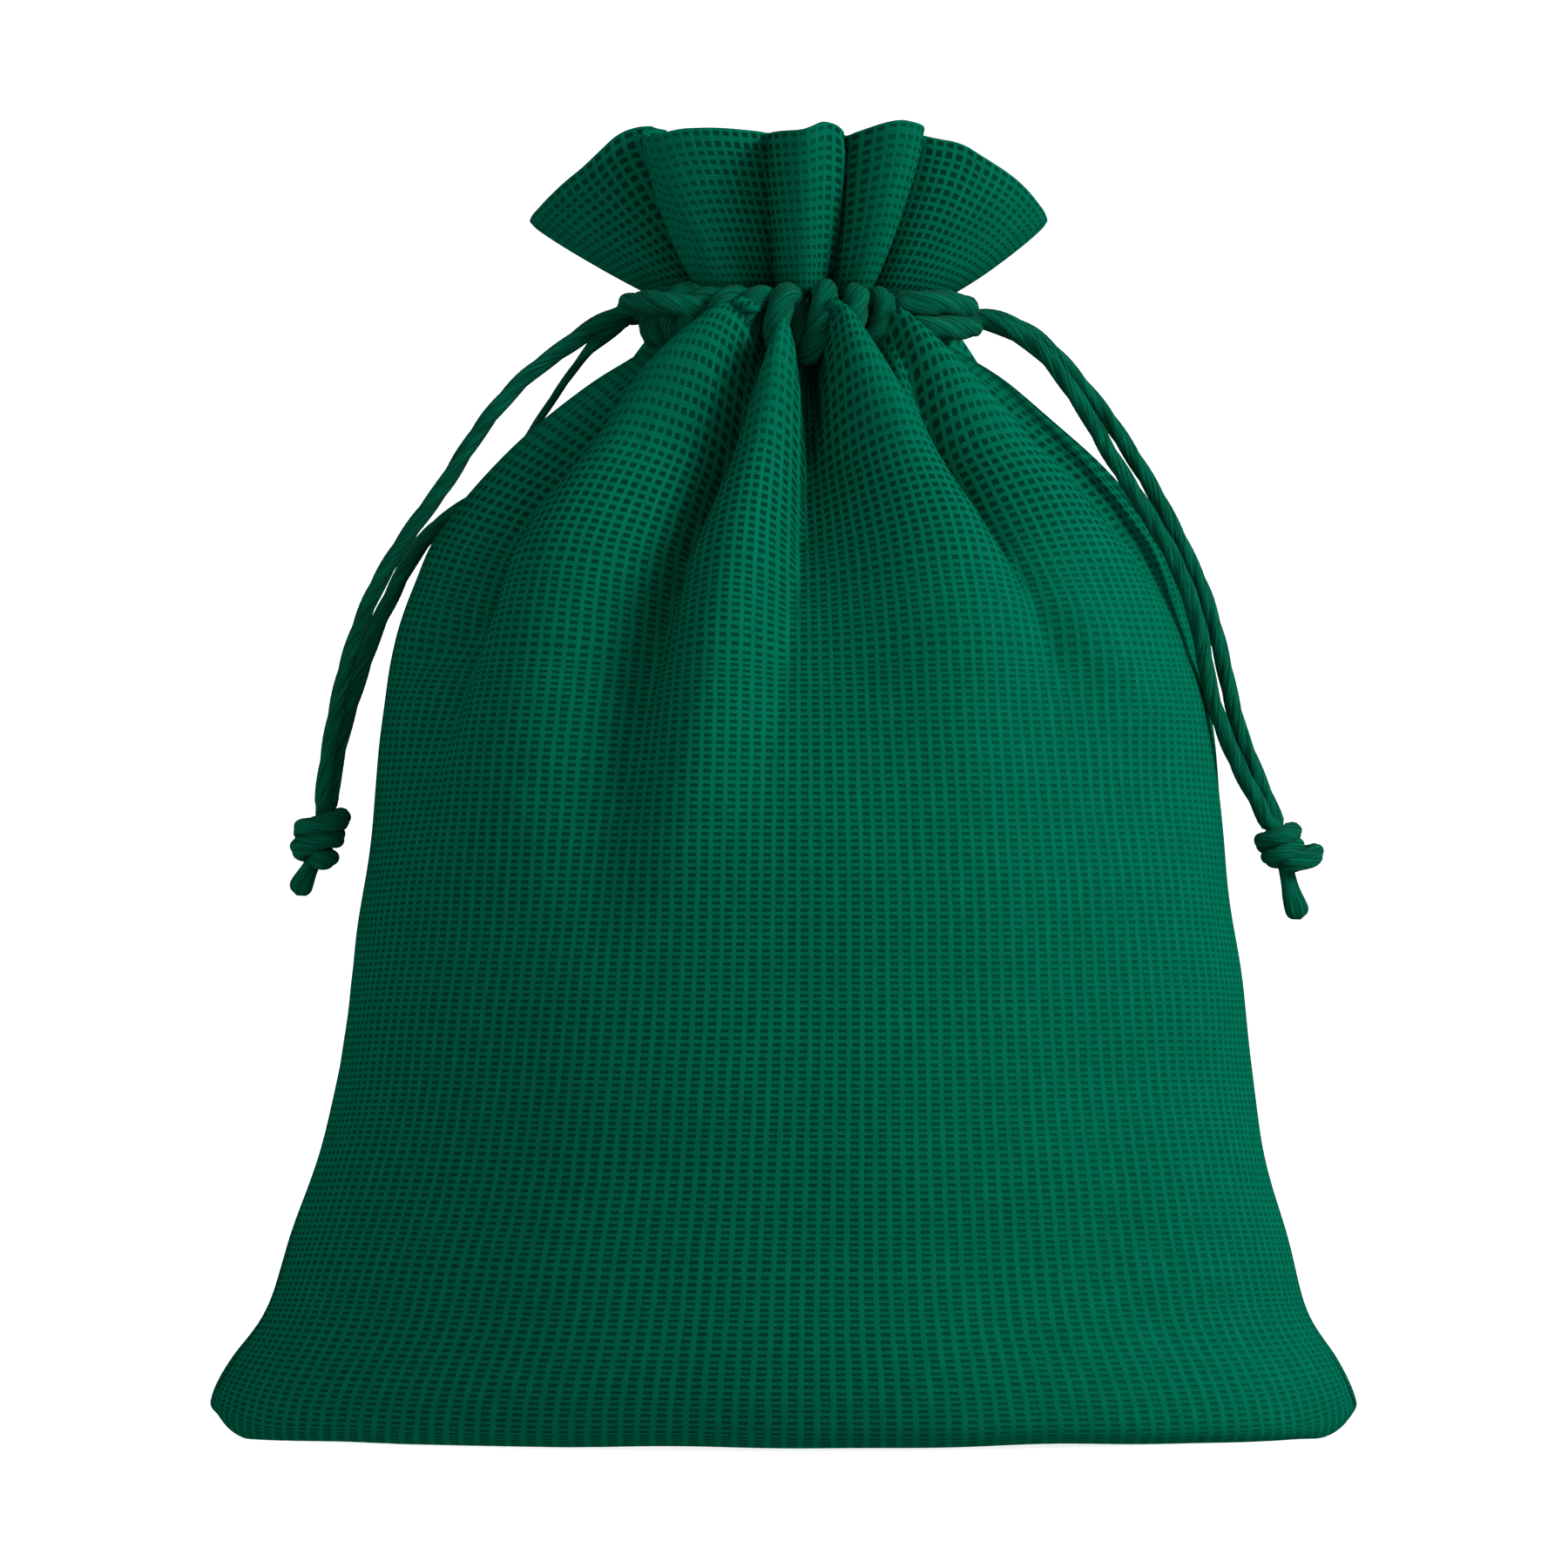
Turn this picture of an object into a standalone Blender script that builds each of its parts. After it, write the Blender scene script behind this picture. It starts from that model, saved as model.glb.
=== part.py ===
"""Fabric gift sack: a small drawstring sack of coarse woven cloth, filled, standing, with its neck drawn in.

Two cloth panels are sewn together down both sides and along the bottom. Two drawcords pass round the neck through a
casing that is left open at each side seam: one cord leaves at the left, the other at the right, and each one's two
tails end together in a knot. Units are metres, +Z is up, the front faces -Y, and the origin is on the standing
surface under the middle of the sack.
"""

import math

import bmesh
import bpy
from mathutils import Matrix, Vector

MM = 0.001
NAME = "fabric_gift_sack"

# Cloth
CLOTH = 1.0 * MM
SEAM_THICKNESS = 1.6 * MM
SEAM_WIDTH = 7.0 * MM
BOTTOM_SEAM_WIDTH = 5.6 * MM
BOTTOM_SEAM_END_WIDTH = 0.8 * MM
BOTTOM_SEAM_LIFT = 0.1 * MM
# Where the side seams start and end, as a share of the way from the bottom to the neck
SEAM_START, SEAM_END = 0.045, 0.985
HEM_WIDTH = 8.0 * MM
HEM_THICKNESS = 0.8 * MM
# How far the casing and the hem reach towards the side seams, and how near the hem comes to the rim
CASING_REACH = 0.78
HEM_REACH = 0.93
HEM_TOP = 0.985
GAP = 0.3 * MM
EDGE_Y = SEAM_THICKNESS / 2 + GAP

# Cords
CORD = 3.0 * MM
CORD_ROUNDNESS = 2

# Grid sizes of the cloth pieces: across the sack, and along the cloth
ACROSS = 28
BODY_ROWS = 19
CASING_ROWS = 2
FRILL_ROWS = 4
SIDE_SEAM_STEPS = 18
BOTTOM_SEAM_STEPS = 20
# Grid steps of a curve between two of its given points, and of the outlines from the bottom to the neck
CURVE_STEPS = 12
OUTLINE_STEPS = 60

# Outline of the sack at its side seams: half width and height, from the bottom corner to the neck
SIDE_LINE = [
    (99.9, 6.0), (96.8, 13.0), (91.3, 21.0), (87.5, 32.0), (82.0, 52.0), (78.0, 76.0), (74.6, 105.0),
    (70.6, 136.0), (66.0, 152.0), (60.5, 160.0), (50.5, 172.0), (38.0, 183.5), (30.5, 188.3), (25.5, 190.6),
]
# Outline down the middle of a panel: half depth and height, from the bottom seam to the neck
MIDDLE_LINE = [
    (0.0, 0.0), (16.0, 0.0), (30.0, 0.0), (36.0, 3.5), (40.0, 14.0), (45.5, 48.0), (48.5, 92.0),
    (46.5, 138.0), (40.5, 161.0), (28.0, 180.0), (21.0, 187.0), (17.2, 190.6),
]
NECK_LOW = 191.0 * MM
NECK_HIGH = 198.5 * MM
NECK_HALF_WIDTH = 24.4 * MM
NECK_HALF_DEPTH = 16.4 * MM
FRILL_LOW = 198.9 * MM
RIM_HALF_WIDTH = 45.2 * MM
RIM_HALF_DEPTH = 29.0 * MM
RIM_HEIGHT = 226.5 * MM
RIM_DROP = 15.0 * MM
BODY_SHIFT = 2.4 * MM
NECK_SHIFT = 3.0 * MM
RIM_SHIFT = 0.8 * MM

# Folds: (place at the neck, place where the fold ends, depth at the neck); a place runs from -1 to 1 seam to seam
FRONT_FOLDS = [(-0.60, -0.54, 4.6), (-0.16, -0.21, 4.8), (0.06, 0.10, 4.2), (0.34, 0.42, 4.0), (0.70, 0.76, 4.4)]
BACK_FOLDS = [(-0.66, -0.70, 4.4), (-0.30, -0.36, 4.2), (0.02, 0.00, 4.8), (0.36, 0.30, 4.2), (0.64, 0.62, 4.4)]
FOLD_WIDTH = 0.105
FOLD_REACH = 58.0 * MM

# The two cords where they go round the neck: how far outside the casing, and height at the left and at the right
LOOPS = {
    "left_cord_loop": {"out": 2.2, "left": 196.4, "right": 192.2, "opens": -1},
    "right_cord_loop": {"out": 5.5, "left": 191.9, "right": 195.2, "opens": 1},
}
LOOP_OPENING = math.radians(34)
LOOP_POINTS = 32

# Where each cord leaves the neck, and the stretch inside the neck that the tails draw out
EXITS = {"left": (-26.5, 0.0, 196.6), "right": (30.3, 0.0, 195.4)}
RUNNER_LENGTH = 12.0 * MM
RUNNER_SPACING = 1.75 * MM
BEND_GAP = 2.2 * MM

# Routes of the four tails, from the neck to their knot
TAILS = {
    "left_tail_front": [
        (-26.6, -1.75, 196.6), (-32.3, -3.0, 194.2), (-38.8, -4.8, 189.6), (-45.2, -6.0, 184.6), (-51.0, -6.5, 178.2),
        (-55.4, -6.5, 171.9), (-59.3, -6.2, 165.8), (-63.9, -5.6, 159.6), (-68.1, -4.6, 153.4), (-71.5, -3.6, 147.4),
        (-74.0, -2.8, 141.4), (-76.1, -2.2, 135.2), (-77.6, -1.9, 129.2), (-78.8, -1.8, 123.2), (-79.8, -1.75, 117.0),
        (-80.5, -1.75, 111.4),
    ],
    "left_tail_rear": [
        (-26.6, 1.75, 196.6), (-31.0, 3.6, 193.2), (-35.0, 6.0, 189.2), (-39.0, 9.0, 184.0), (-42.9, 12.0, 178.4),
        (-47.2, 14.8, 172.2), (-52.0, 15.2, 166.8), (-57.4, 13.0, 162.4), (-62.0, 9.8, 158.2), (-65.6, 6.6, 153.2),
        (-68.5, 4.0, 147.4), (-71.2, 2.4, 141.6), (-73.4, 2.0, 135.4), (-75.4, 1.8, 129.2), (-77.2, 1.75, 123.0),
        (-78.5, 1.75, 117.0), (-79.2, 1.75, 111.4),
    ],
    "right_tail_front": [
        (30.4, -1.75, 195.4), (36.0, -3.2, 194.6), (41.6, -5.0, 191.8), (45.8, -6.8, 188.2), (49.2, -8.4, 183.6),
        (52.8, -9.8, 178.0), (56.2, -11.0, 171.9), (60.0, -11.8, 165.8), (63.8, -12.3, 159.7), (67.3, -12.6, 153.6),
        (69.9, -12.6, 147.5), (71.8, -12.4, 141.5), (73.0, -11.8, 135.4), (74.2, -10.6, 129.3), (76.4, -8.2, 123.2),
        (79.2, -4.9, 117.0), (82.4, -2.6, 111.2), (84.2, -1.75, 107.6),
    ],
    "right_tail_rear": [
        (30.4, 1.75, 195.4), (36.4, 1.5, 195.4), (42.6, -0.4, 192.9), (47.6, -2.0, 188.6), (51.8, -3.4, 183.6),
        (56.2, -4.6, 178.0), (60.2, -5.4, 171.9), (63.9, -5.8, 165.8), (67.2, -6.0, 159.7), (70.2, -6.0, 153.6),
        (72.9, -5.9, 147.5), (74.8, -5.6, 141.5), (76.4, -5.0, 135.4), (77.8, -4.0, 129.3), (79.5, -2.3, 123.2),
        (82.0, -0.2, 117.0), (84.5, 1.2, 111.2), (86.0, 1.6, 107.6),
    ],
}
TAIL_STEP = 7.5 * MM

# Knots: the middle of the top, the tip of the tail below it
KNOTS = {
    "left_knot": ((-80.1, 0.0, 110.6), (-85.2, 0.0, 94.2)),
    "right_knot": ((85.5, 0.0, 106.8), (90.6, 0.0, 90.2)),
}
# Turned outline of a knot: distance along its axis from the top as a share of its length, and radius in millimetres
KNOT_OUTLINE = [
    (0.00, 2.6), (0.10, 4.4), (0.22, 4.9), (0.33, 4.0), (0.45, 4.9), (0.57, 4.6), (0.66, 2.6), (0.74, 1.9),
    (0.86, 1.9), (0.95, 2.1), (1.00, 1.3),
]
KNOT_STEPS = 12


def colour(code):
    """Linear colour of an sRGB hex code."""
    values = [int(code[i : i + 2], 16) / 255 for i in (0, 2, 4)]
    return [v / 12.92 if v <= 0.04045 else ((v + 0.055) / 1.055) ** 2.4 for v in values] + [1.0]


def material(name, code, roughness):
    made = bpy.data.materials.new(name)
    made.use_nodes = True
    shader = made.node_tree.nodes["Principled BSDF"]
    shader.inputs["Base Color"].default_value = colour(code)
    shader.inputs["Roughness"].default_value = roughness
    shader.inputs["Metallic"].default_value = 0.0
    return made


def smooth(low, high, value):
    """0 below low, 1 above high, and an even turn between."""
    share = min(1.0, max(0.0, (value - low) / (high - low)))
    return share * share * (3 - 2 * share)


def mix(a, b, share):
    return a + (b - a) * share


def catmull(points, at):
    """The point at a place along a smooth curve through points, where places are the points' own numbers."""
    first = min(max(int(at), 0), len(points) - 2)
    share = at - first
    p1, p2 = points[first], points[first + 1]
    p0 = points[first - 1] if first else p1 * 2 - p2
    p3 = points[first + 2] if first + 2 < len(points) else p2 * 2 - p1
    bend, turn = p0 * 2 - p1 * 5 + p2 * 4 - p3, p1 * 3 - p0 - p2 * 3 + p3
    return (p1 * 2 + (p2 - p0) * share + bend * share**2 + turn * share**3) / 2


def even_curve(points, count):
    """count + 1 points spread evenly along the smooth curve through points."""
    fine = [catmull(points, i / CURVE_STEPS) for i in range(CURVE_STEPS * (len(points) - 1) + 1)]
    lengths = [0.0]
    for a, b in zip(fine, fine[1:]):
        lengths.append(lengths[-1] + (b - a).length)
    found, k = [], 0
    for i in range(count + 1):
        want = lengths[-1] * i / count
        while k < len(fine) - 2 and lengths[k + 1] < want:
            k += 1
        span = lengths[k + 1] - lengths[k]
        found.append(fine[k].lerp(fine[k + 1], (want - lengths[k]) / span))
    return found


def curve_length(points):
    return sum((b - a).length for a, b in zip(points, points[1:]))


def millimetres(rows):
    return [Vector(row) * MM for row in rows]


SIDE_CURVE = even_curve(millimetres(SIDE_LINE), OUTLINE_STEPS)
MIDDLE_CURVE = even_curve(millimetres(MIDDLE_LINE), OUTLINE_STEPS)


def body_surface(place, along):
    """A point of the filled body before its folds: place runs seam to seam, along from the bottom to the neck."""
    side = catmull(SIDE_CURVE, OUTLINE_STEPS * along)
    middle = catmull(MIDDLE_CURVE, OUTLINE_STEPS * along)
    lift = smooth(mix(0.76, 0.55, smooth(0.0, 0.12, along)), 1.0, abs(place))
    fullness = mix(1.8, 1.0, smooth(0.0, 0.45, along))
    turn = math.pi / 2 * place
    shift = BODY_SHIFT * smooth(0.05, 0.35, along)
    return Vector((
        shift + (NECK_SHIFT - BODY_SHIFT) * smooth(0.7, 1.0, along) + side.x * math.sin(turn),
        -EDGE_Y - middle.x * max(0.0, math.cos(turn)) ** fullness,
        mix(max(0.0, middle.y), side.y, lift),
    ))


def casing_surface(place, along):
    """A point of the gathered neck, under the cords."""
    turn = math.pi / 2 * place
    waist = 0.6 * MM * math.sin(math.pi * along)
    return Vector((
        NECK_SHIFT + (NECK_HALF_WIDTH - waist) * math.sin(turn),
        -EDGE_Y - (NECK_HALF_DEPTH - waist) * math.cos(turn),
        mix(NECK_LOW, NECK_HIGH, along),
    ))


def frill_surface(place, along):
    """A point of the frill, which flares from the neck to the rim."""
    turn = math.pi / 2 * place
    flare = math.sin(math.pi / 2 * along) * 0.55 + along * 0.45
    rim = RIM_HEIGHT - RIM_DROP * smooth(0.4, 1.0, abs(place))
    return Vector((
        mix(NECK_SHIFT, RIM_SHIFT, along) + mix(NECK_HALF_WIDTH, RIM_HALF_WIDTH, flare) * math.sin(turn),
        -EDGE_Y - mix(NECK_HALF_DEPTH, RIM_HALF_DEPTH, flare) * math.cos(turn),
        mix(FRILL_LOW, rim, along),
    ))


def fold_depth(folds, place, along):
    """How far the folds draw the cloth in, with along running from the folds' lower ends to the neck."""
    depth = 0.0
    for at_neck, at_end, deep in folds:
        centre = mix(at_end, at_neck, along)
        depth += deep * MM * math.exp(-(((place - centre) / FOLD_WIDTH) ** 2))
    return depth * (1 - smooth(0.86, 1.0, abs(place)))


def body_folds(folds, place, along):
    below_neck = (1 - along) * curve_length(SIDE_CURVE)
    return fold_depth(folds, place, 1 - below_neck / FOLD_REACH) * (1 - smooth(0.0, FOLD_REACH, below_neck))


def neck_folds(folds, place, along):
    return fold_depth(folds, place, 1.0)


def frill_folds(folds, place, along):
    return fold_depth(folds, place, 1.0) * mix(1.0, 0.7, along)


def inward(surface, place, along):
    """The direction into the sack from its surface: level at the neck, and with no part across a seam beside one."""
    step = 0.002
    beside_bottom = 0.06 if surface is body_surface else 1e-6
    tilt = {body_surface: 1 - smooth(0.8, 1.0, along), casing_surface: 0.0, frill_surface: smooth(0.0, 0.4, along)}
    low, high = max(-1.0, place - step), min(1.0, place + step)
    under, over = max(0.0, along - step), min(1.0, along + step)
    across = surface(high, along) - surface(low, along)
    up = surface(place, over) - surface(place, under)
    direction = up.cross(across)
    direction.normalize()
    direction.y *= (1 - smooth(0.8, 1.0, abs(place))) * smooth(0.0, beside_bottom, along)
    direction.z *= tilt[surface]
    direction.normalize()
    return direction


def cloth_point(surface, folds_of, folds, front, place, along, inside):
    """A point of the folded cloth, a distance inside its outer face, on the front or the back of the sack."""
    point = surface(place, along)
    point += inward(surface, place, along) * (folds_of(folds, place, along) + inside)
    point.y = min(point.y, -EDGE_Y)
    if not front:
        point.y = -point.y
    return point


def own_object(name, bm, look):
    """An object made of a closed bmesh, with its faces turned outwards."""
    bmesh.ops.recalc_face_normals(bm, faces=list(bm.faces))
    if bm.calc_volume(signed=True) < 0:
        bmesh.ops.reverse_faces(bm, faces=list(bm.faces))
    mesh = bpy.data.meshes.new(name)
    bm.to_mesh(mesh)
    bm.free()
    mesh.shade_smooth()
    mesh.set_sharp_from_angle(angle=math.radians(50))
    mesh.materials.append(look)
    made = bpy.data.objects.new(name, mesh)
    collection.objects.link(made)
    return made


def cloth_piece(name, look, point, rows, low=(-1.0, 0.0), high=(1.0, 1.0), outer=0.0, thickness=CLOTH):
    """A closed solid of cloth: a grid for the outer face, extruded to the inner face."""
    bm = bmesh.new()
    bmesh.ops.create_grid(bm, x_segments=ACROSS, y_segments=rows, size=0.5)
    grid = list(bm.verts)
    made = bmesh.ops.extrude_face_region(bm, geom=list(bm.faces), use_keep_orig=True)
    inner = [g for g in made["geom"] if isinstance(g, bmesh.types.BMVert)]
    for verts, inside in ((grid, outer), (inner, outer + thickness)):
        for vert in verts:
            place = mix(low[0], high[0], vert.co.x + 0.5)
            along = mix(low[1], high[1], vert.co.y + 0.5)
            vert.co = point(place, along, inside)
    return own_object(name, bm, look)


def panel_points(surface, folds_of, folds, front):
    return lambda place, along, inside: cloth_point(surface, folds_of, folds, front, place, along, inside)


def seam_strip(name, look, edge, width_of, count):
    """A flat strip of turned-in cloth that stands between the two panels, from an edge line towards the inside."""
    bm = bmesh.new()
    bmesh.ops.create_grid(bm, x_segments=count, y_segments=1, size=0.5)
    grid = list(bm.verts)
    made = bmesh.ops.extrude_face_region(bm, geom=list(bm.faces), use_keep_orig=True)
    other = [g for g in made["geom"] if isinstance(g, bmesh.types.BMVert)]
    for verts, y in ((grid, -SEAM_THICKNESS / 2), (other, SEAM_THICKNESS / 2)):
        for vert in verts:
            share = vert.co.x + 0.5
            outer = edge(share)
            vert.co = outer + width_of(share) * (vert.co.y + 0.5) + Vector((0, y, 0))
    return own_object(name, bm, look)


def tube(name, look, points, diameter):
    """A round cord along a line of points, as a curve with filled caps."""
    data = bpy.data.curves.new(name, "CURVE")
    data.dimensions = "3D"
    data.bevel_depth = diameter / 2
    data.bevel_resolution = CORD_ROUNDNESS
    data.use_fill_caps = True
    spline = data.splines.new("POLY")
    spline.points.add(len(points) - 1)
    for slot, point in zip(spline.points, points):
        slot.co = (*point, 1.0)
    data.materials.append(look)
    made = bpy.data.objects.new(name, data)
    collection.objects.link(made)
    return made


def seam_middle(place, along):
    """A point of the side seam line, on the sack's middle plane."""
    point = body_surface(place, along)
    point.y = 0
    return point


def make_cloth(look, seam_look):
    for side, folds, front in (("front", FRONT_FOLDS, True), ("back", BACK_FOLDS, False)):
        body = panel_points(body_surface, body_folds, folds, front)
        casing = panel_points(casing_surface, neck_folds, folds, front)
        frill = panel_points(frill_surface, frill_folds, folds, front)
        cloth_piece(f"{side}_panel", look, body, BODY_ROWS)
        cloth_piece(f"{side}_casing", look, casing, CASING_ROWS, (-CASING_REACH, 0.0), (CASING_REACH, 1.0))
        cloth_piece(f"{side}_frill", look, frill, FRILL_ROWS)
        hem_share = HEM_WIDTH / (RIM_HEIGHT - FRILL_LOW)
        hem_low, hem_high = (-HEM_REACH, 1 - hem_share), (HEM_REACH, HEM_TOP)
        cloth_piece(f"{side}_hem", look, frill, 1, hem_low, hem_high, outer=CLOTH + GAP, thickness=HEM_THICKNESS)

    for side, sign in (("left", -1), ("right", 1)):

        def edge(share, sign=sign):
            return seam_middle(sign, mix(SEAM_START, SEAM_END, share))

        def width(share, sign=sign):
            along = mix(SEAM_START, SEAM_END, share)
            up = seam_middle(sign, min(1.0, along + 0.01)) - seam_middle(sign, along - 0.01)
            return Vector((-sign * up.z, 0, sign * up.x)).normalized() * SEAM_WIDTH

        seam_strip(f"{side}_side_seam", seam_look, edge, width, SIDE_SEAM_STEPS)

    def bottom_edge(share):
        return seam_middle(mix(-SEAM_END, SEAM_END, share), 0.0) + Vector((0, 0, BOTTOM_SEAM_LIFT))

    def bottom_width(share):
        full = smooth(0.0, 0.02, min(share, 1 - share))
        return Vector((0, 0, BOTTOM_SEAM_END_WIDTH + BOTTOM_SEAM_WIDTH * full))

    seam_strip("bottom_seam", seam_look, bottom_edge, bottom_width, BOTTOM_SEAM_STEPS)


def loop_points(out, left, right, opens):
    """The line of a cord round the neck, open at the side where its tails leave."""
    start = LOOP_OPENING if opens > 0 else math.pi + LOOP_OPENING
    sweep = 2 * (math.pi - LOOP_OPENING)
    found = []
    for i in range(LOOP_POINTS + 1):
        angle = start + sweep * i / LOOP_POINTS
        x = (NECK_HALF_WIDTH + out * MM) * math.cos(angle)
        y = (NECK_HALF_DEPTH + EDGE_Y + out * MM) * math.sin(angle)
        share = math.cos(angle) / 2 + 0.5
        found.append(Vector((NECK_SHIFT + x, y, mix(left, right, share) * MM)))
    return found


def make_cords(look):
    for name, loop in LOOPS.items():
        tube(name, look, loop_points(loop["out"], loop["left"], loop["right"], loop["opens"]), CORD)
    for side, sign in (("left", -1), ("right", 1)):
        exit_point = Vector(EXITS[side]) * MM
        for part, y in (("front", -RUNNER_SPACING), ("rear", RUNNER_SPACING)):
            outer = exit_point + Vector((-sign * BEND_GAP, y, 0))
            inner = outer - Vector((sign * RUNNER_LENGTH, 0, 0))
            tube(f"{side}_runner_{part}", look, [outer, inner], CORD)
    for name, route in TAILS.items():
        points = millimetres(route)
        count = math.ceil(curve_length(points) / TAIL_STEP)
        tube(name, look, even_curve(points, count), CORD)


def make_knots(look):
    for name, (top, tip) in KNOTS.items():
        top, tip = Vector(top) * MM, Vector(tip) * MM
        length = (tip - top).length
        bm = bmesh.new()
        turned = [(radius * MM, -share * length) for share, radius in KNOT_OUTLINE]
        outline = [(0.0, 0.0), *turned, (0.0, -length)]
        verts = [bm.verts.new((x, 0, z)) for x, z in outline]
        edges = [bm.edges.new(pair) for pair in zip(verts, verts[1:])]
        axis = dict(cent=(0, 0, 0), axis=(0, 0, 1))
        bmesh.ops.spin(bm, geom=verts + edges, **axis, angle=math.tau, steps=KNOT_STEPS, use_merge=True)
        bmesh.ops.remove_doubles(bm, verts=list(bm.verts), dist=1e-6)
        made = own_object(name, bm, look)
        leaning = Vector((0, 0, -1)).rotation_difference(tip - top)
        made.matrix_world = Matrix.Translation(top) @ leaning.to_matrix().to_4x4()


for old in list(bpy.data.objects):
    bpy.data.objects.remove(old, do_unlink=True)
collection = bpy.data.collections.new(NAME)
bpy.context.scene.collection.children.link(collection)

cloth_look = material("woven_cloth", "04624A", 0.9)
seam_look = material("sewn_edge", "045340", 0.9)
cord_look = material("twisted_cord", "05694F", 0.8)

make_cloth(cloth_look, seam_look)
make_cords(cord_look)
make_knots(cord_look)
bpy.context.view_layer.update()
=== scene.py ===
"""Fabric gift sack: the looks of a small drawstring sack of coarse woven cotton, built round its CAD frame.

The cloth is two continuous sheets from the bottom seam through the drawn neck to the rim. Two twisted cords
bind the neck, and each one's two tails leave it at a side seam and end together in a knot. The sack's sizes
are in millimetres until its meshes are made, the stage is in metres, +Z is up and the front faces -Y.
"""

import math

import bmesh
import bpy
import numpy as np
from bpy.props import FloatProperty, IntProperty, PointerProperty, StringProperty
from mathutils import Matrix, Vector


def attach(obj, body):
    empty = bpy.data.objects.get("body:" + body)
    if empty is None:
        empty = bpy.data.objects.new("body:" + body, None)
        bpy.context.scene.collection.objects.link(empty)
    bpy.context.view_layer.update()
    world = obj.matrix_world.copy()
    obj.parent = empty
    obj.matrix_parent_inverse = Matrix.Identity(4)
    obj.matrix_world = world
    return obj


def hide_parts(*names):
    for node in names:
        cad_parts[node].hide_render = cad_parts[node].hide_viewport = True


bl_info = {
    "name": "Fabric gift sack",
    "version": (1, 0, 0),
    "blender": (4, 5, 0),
    "location": "View3D > Sidebar > Gift sack",
    "description": "Builds the cloth, cords and stage of a small drawstring gift sack",
    "category": "Add Mesh",
}

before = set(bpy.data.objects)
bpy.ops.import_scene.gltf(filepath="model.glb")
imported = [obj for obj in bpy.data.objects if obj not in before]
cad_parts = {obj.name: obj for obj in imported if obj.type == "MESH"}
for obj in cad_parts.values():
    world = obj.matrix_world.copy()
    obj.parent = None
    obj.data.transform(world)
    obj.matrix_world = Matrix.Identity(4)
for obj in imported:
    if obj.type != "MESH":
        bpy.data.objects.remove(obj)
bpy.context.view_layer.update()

MM = 0.001

# ---- Sizes of the sack, in millimetres ----

# The filled sack without its folds, row by row from the bottom seam to the rim:
# half width and height at the side seams, half depth and height at the middle, how pointed the sides are
# (1 is an ellipse), and how far the row's middle stands to the right.
# A place on a row runs from -1 at the left side seam to 1 at the right one.
CLOTH_ROWS = [
    (97.2, 4.0, 0.0, 0.2, 1.8, 0.0),
    (98.8, 4.6, 16.0, 0.0, 1.8, 0.0),
    (99.6, 5.3, 29.0, 0.2, 1.8, 0.0),
    (99.9, 6.6, 35.6, 2.2, 1.8, 0.0),
    (98.9, 9.6, 38.4, 7.0, 1.8, 0.0),
    (96.4, 14.0, 39.9, 12.5, 1.75, 0.1),
    (91.3, 21.5, 41.6, 21.5, 1.65, 0.3),
    (87.5, 32.0, 43.4, 33.0, 1.5, 0.7),
    (82.0, 52.0, 45.9, 53.0, 1.25, 1.5),
    (78.0, 76.0, 47.9, 77.0, 1.08, 2.2),
    (74.6, 105.0, 48.4, 106.0, 1.0, 2.4),
    (70.6, 136.0, 46.5, 136.0, 1.0, 2.4),
    (66.0, 152.0, 43.0, 152.0, 1.0, 2.4),
    (60.5, 160.5, 39.4, 161.5, 1.0, 2.4),
    (50.5, 172.0, 33.2, 172.5, 1.0, 2.5),
    (38.0, 183.0, 25.4, 182.5, 1.0, 2.7),
    (30.0, 188.3, 19.8, 188.0, 1.0, 2.9),
    (25.0, 191.2, 16.2, 191.2, 1.0, 3.0),
    (22.4, 194.3, 14.2, 194.3, 1.0, 3.0),
    (22.4, 197.5, 14.2, 197.5, 1.0, 3.0),
    (26.6, 200.4, 17.0, 201.5, 1.05, 2.9),
    (32.8, 203.6, 21.0, 208.5, 1.2, 2.4),
    (39.4, 207.6, 25.2, 217.0, 1.35, 1.6),
    (43.9, 210.8, 28.0, 223.6, 1.5, 1.0),
    (45.3, 212.0, 28.8, 226.8, 1.55, 0.8),
]
NECK_ROW = 19
NECK_HEIGHT = 197.5
RIM_HEIGHT = 226.8
SHOULDER_HEIGHT = 160.0
# Turns a place on the body into a distance round it
BODY_RADIUS = 70.0
CLOTH_THICKNESS = 0.8
# Half of what is left open between the two cloths where they meet
EDGE_GAP = 0.02
# How deep the side seams draw the cloth in, and over what part of the way across
SEAM_PINCH = 0.9
SEAM_PINCH_REACH = 0.012
# The bound edges inside the seams
SEAM_INSET = 0.9
SEAM_ALLOWANCE = 6.0
SEAM_THICKNESS = 1.2
SEAM_START = 3.0
SEAM_SHORT_OF_RIM = 1.0
SEAM_POINTS = 120
BOTTOM_SEAM_REACH = 0.96
# The hem folded down inside the rim
HEM_DEPTH = 8.0
HEM_BELOW_RIM = 0.25
HEM_BEHIND_CLOTH = 0.1
HEM_THICKNESS = 0.7
HEM_FACES_ACROSS = 160
HEM_FACES_ALONG = 6

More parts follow.
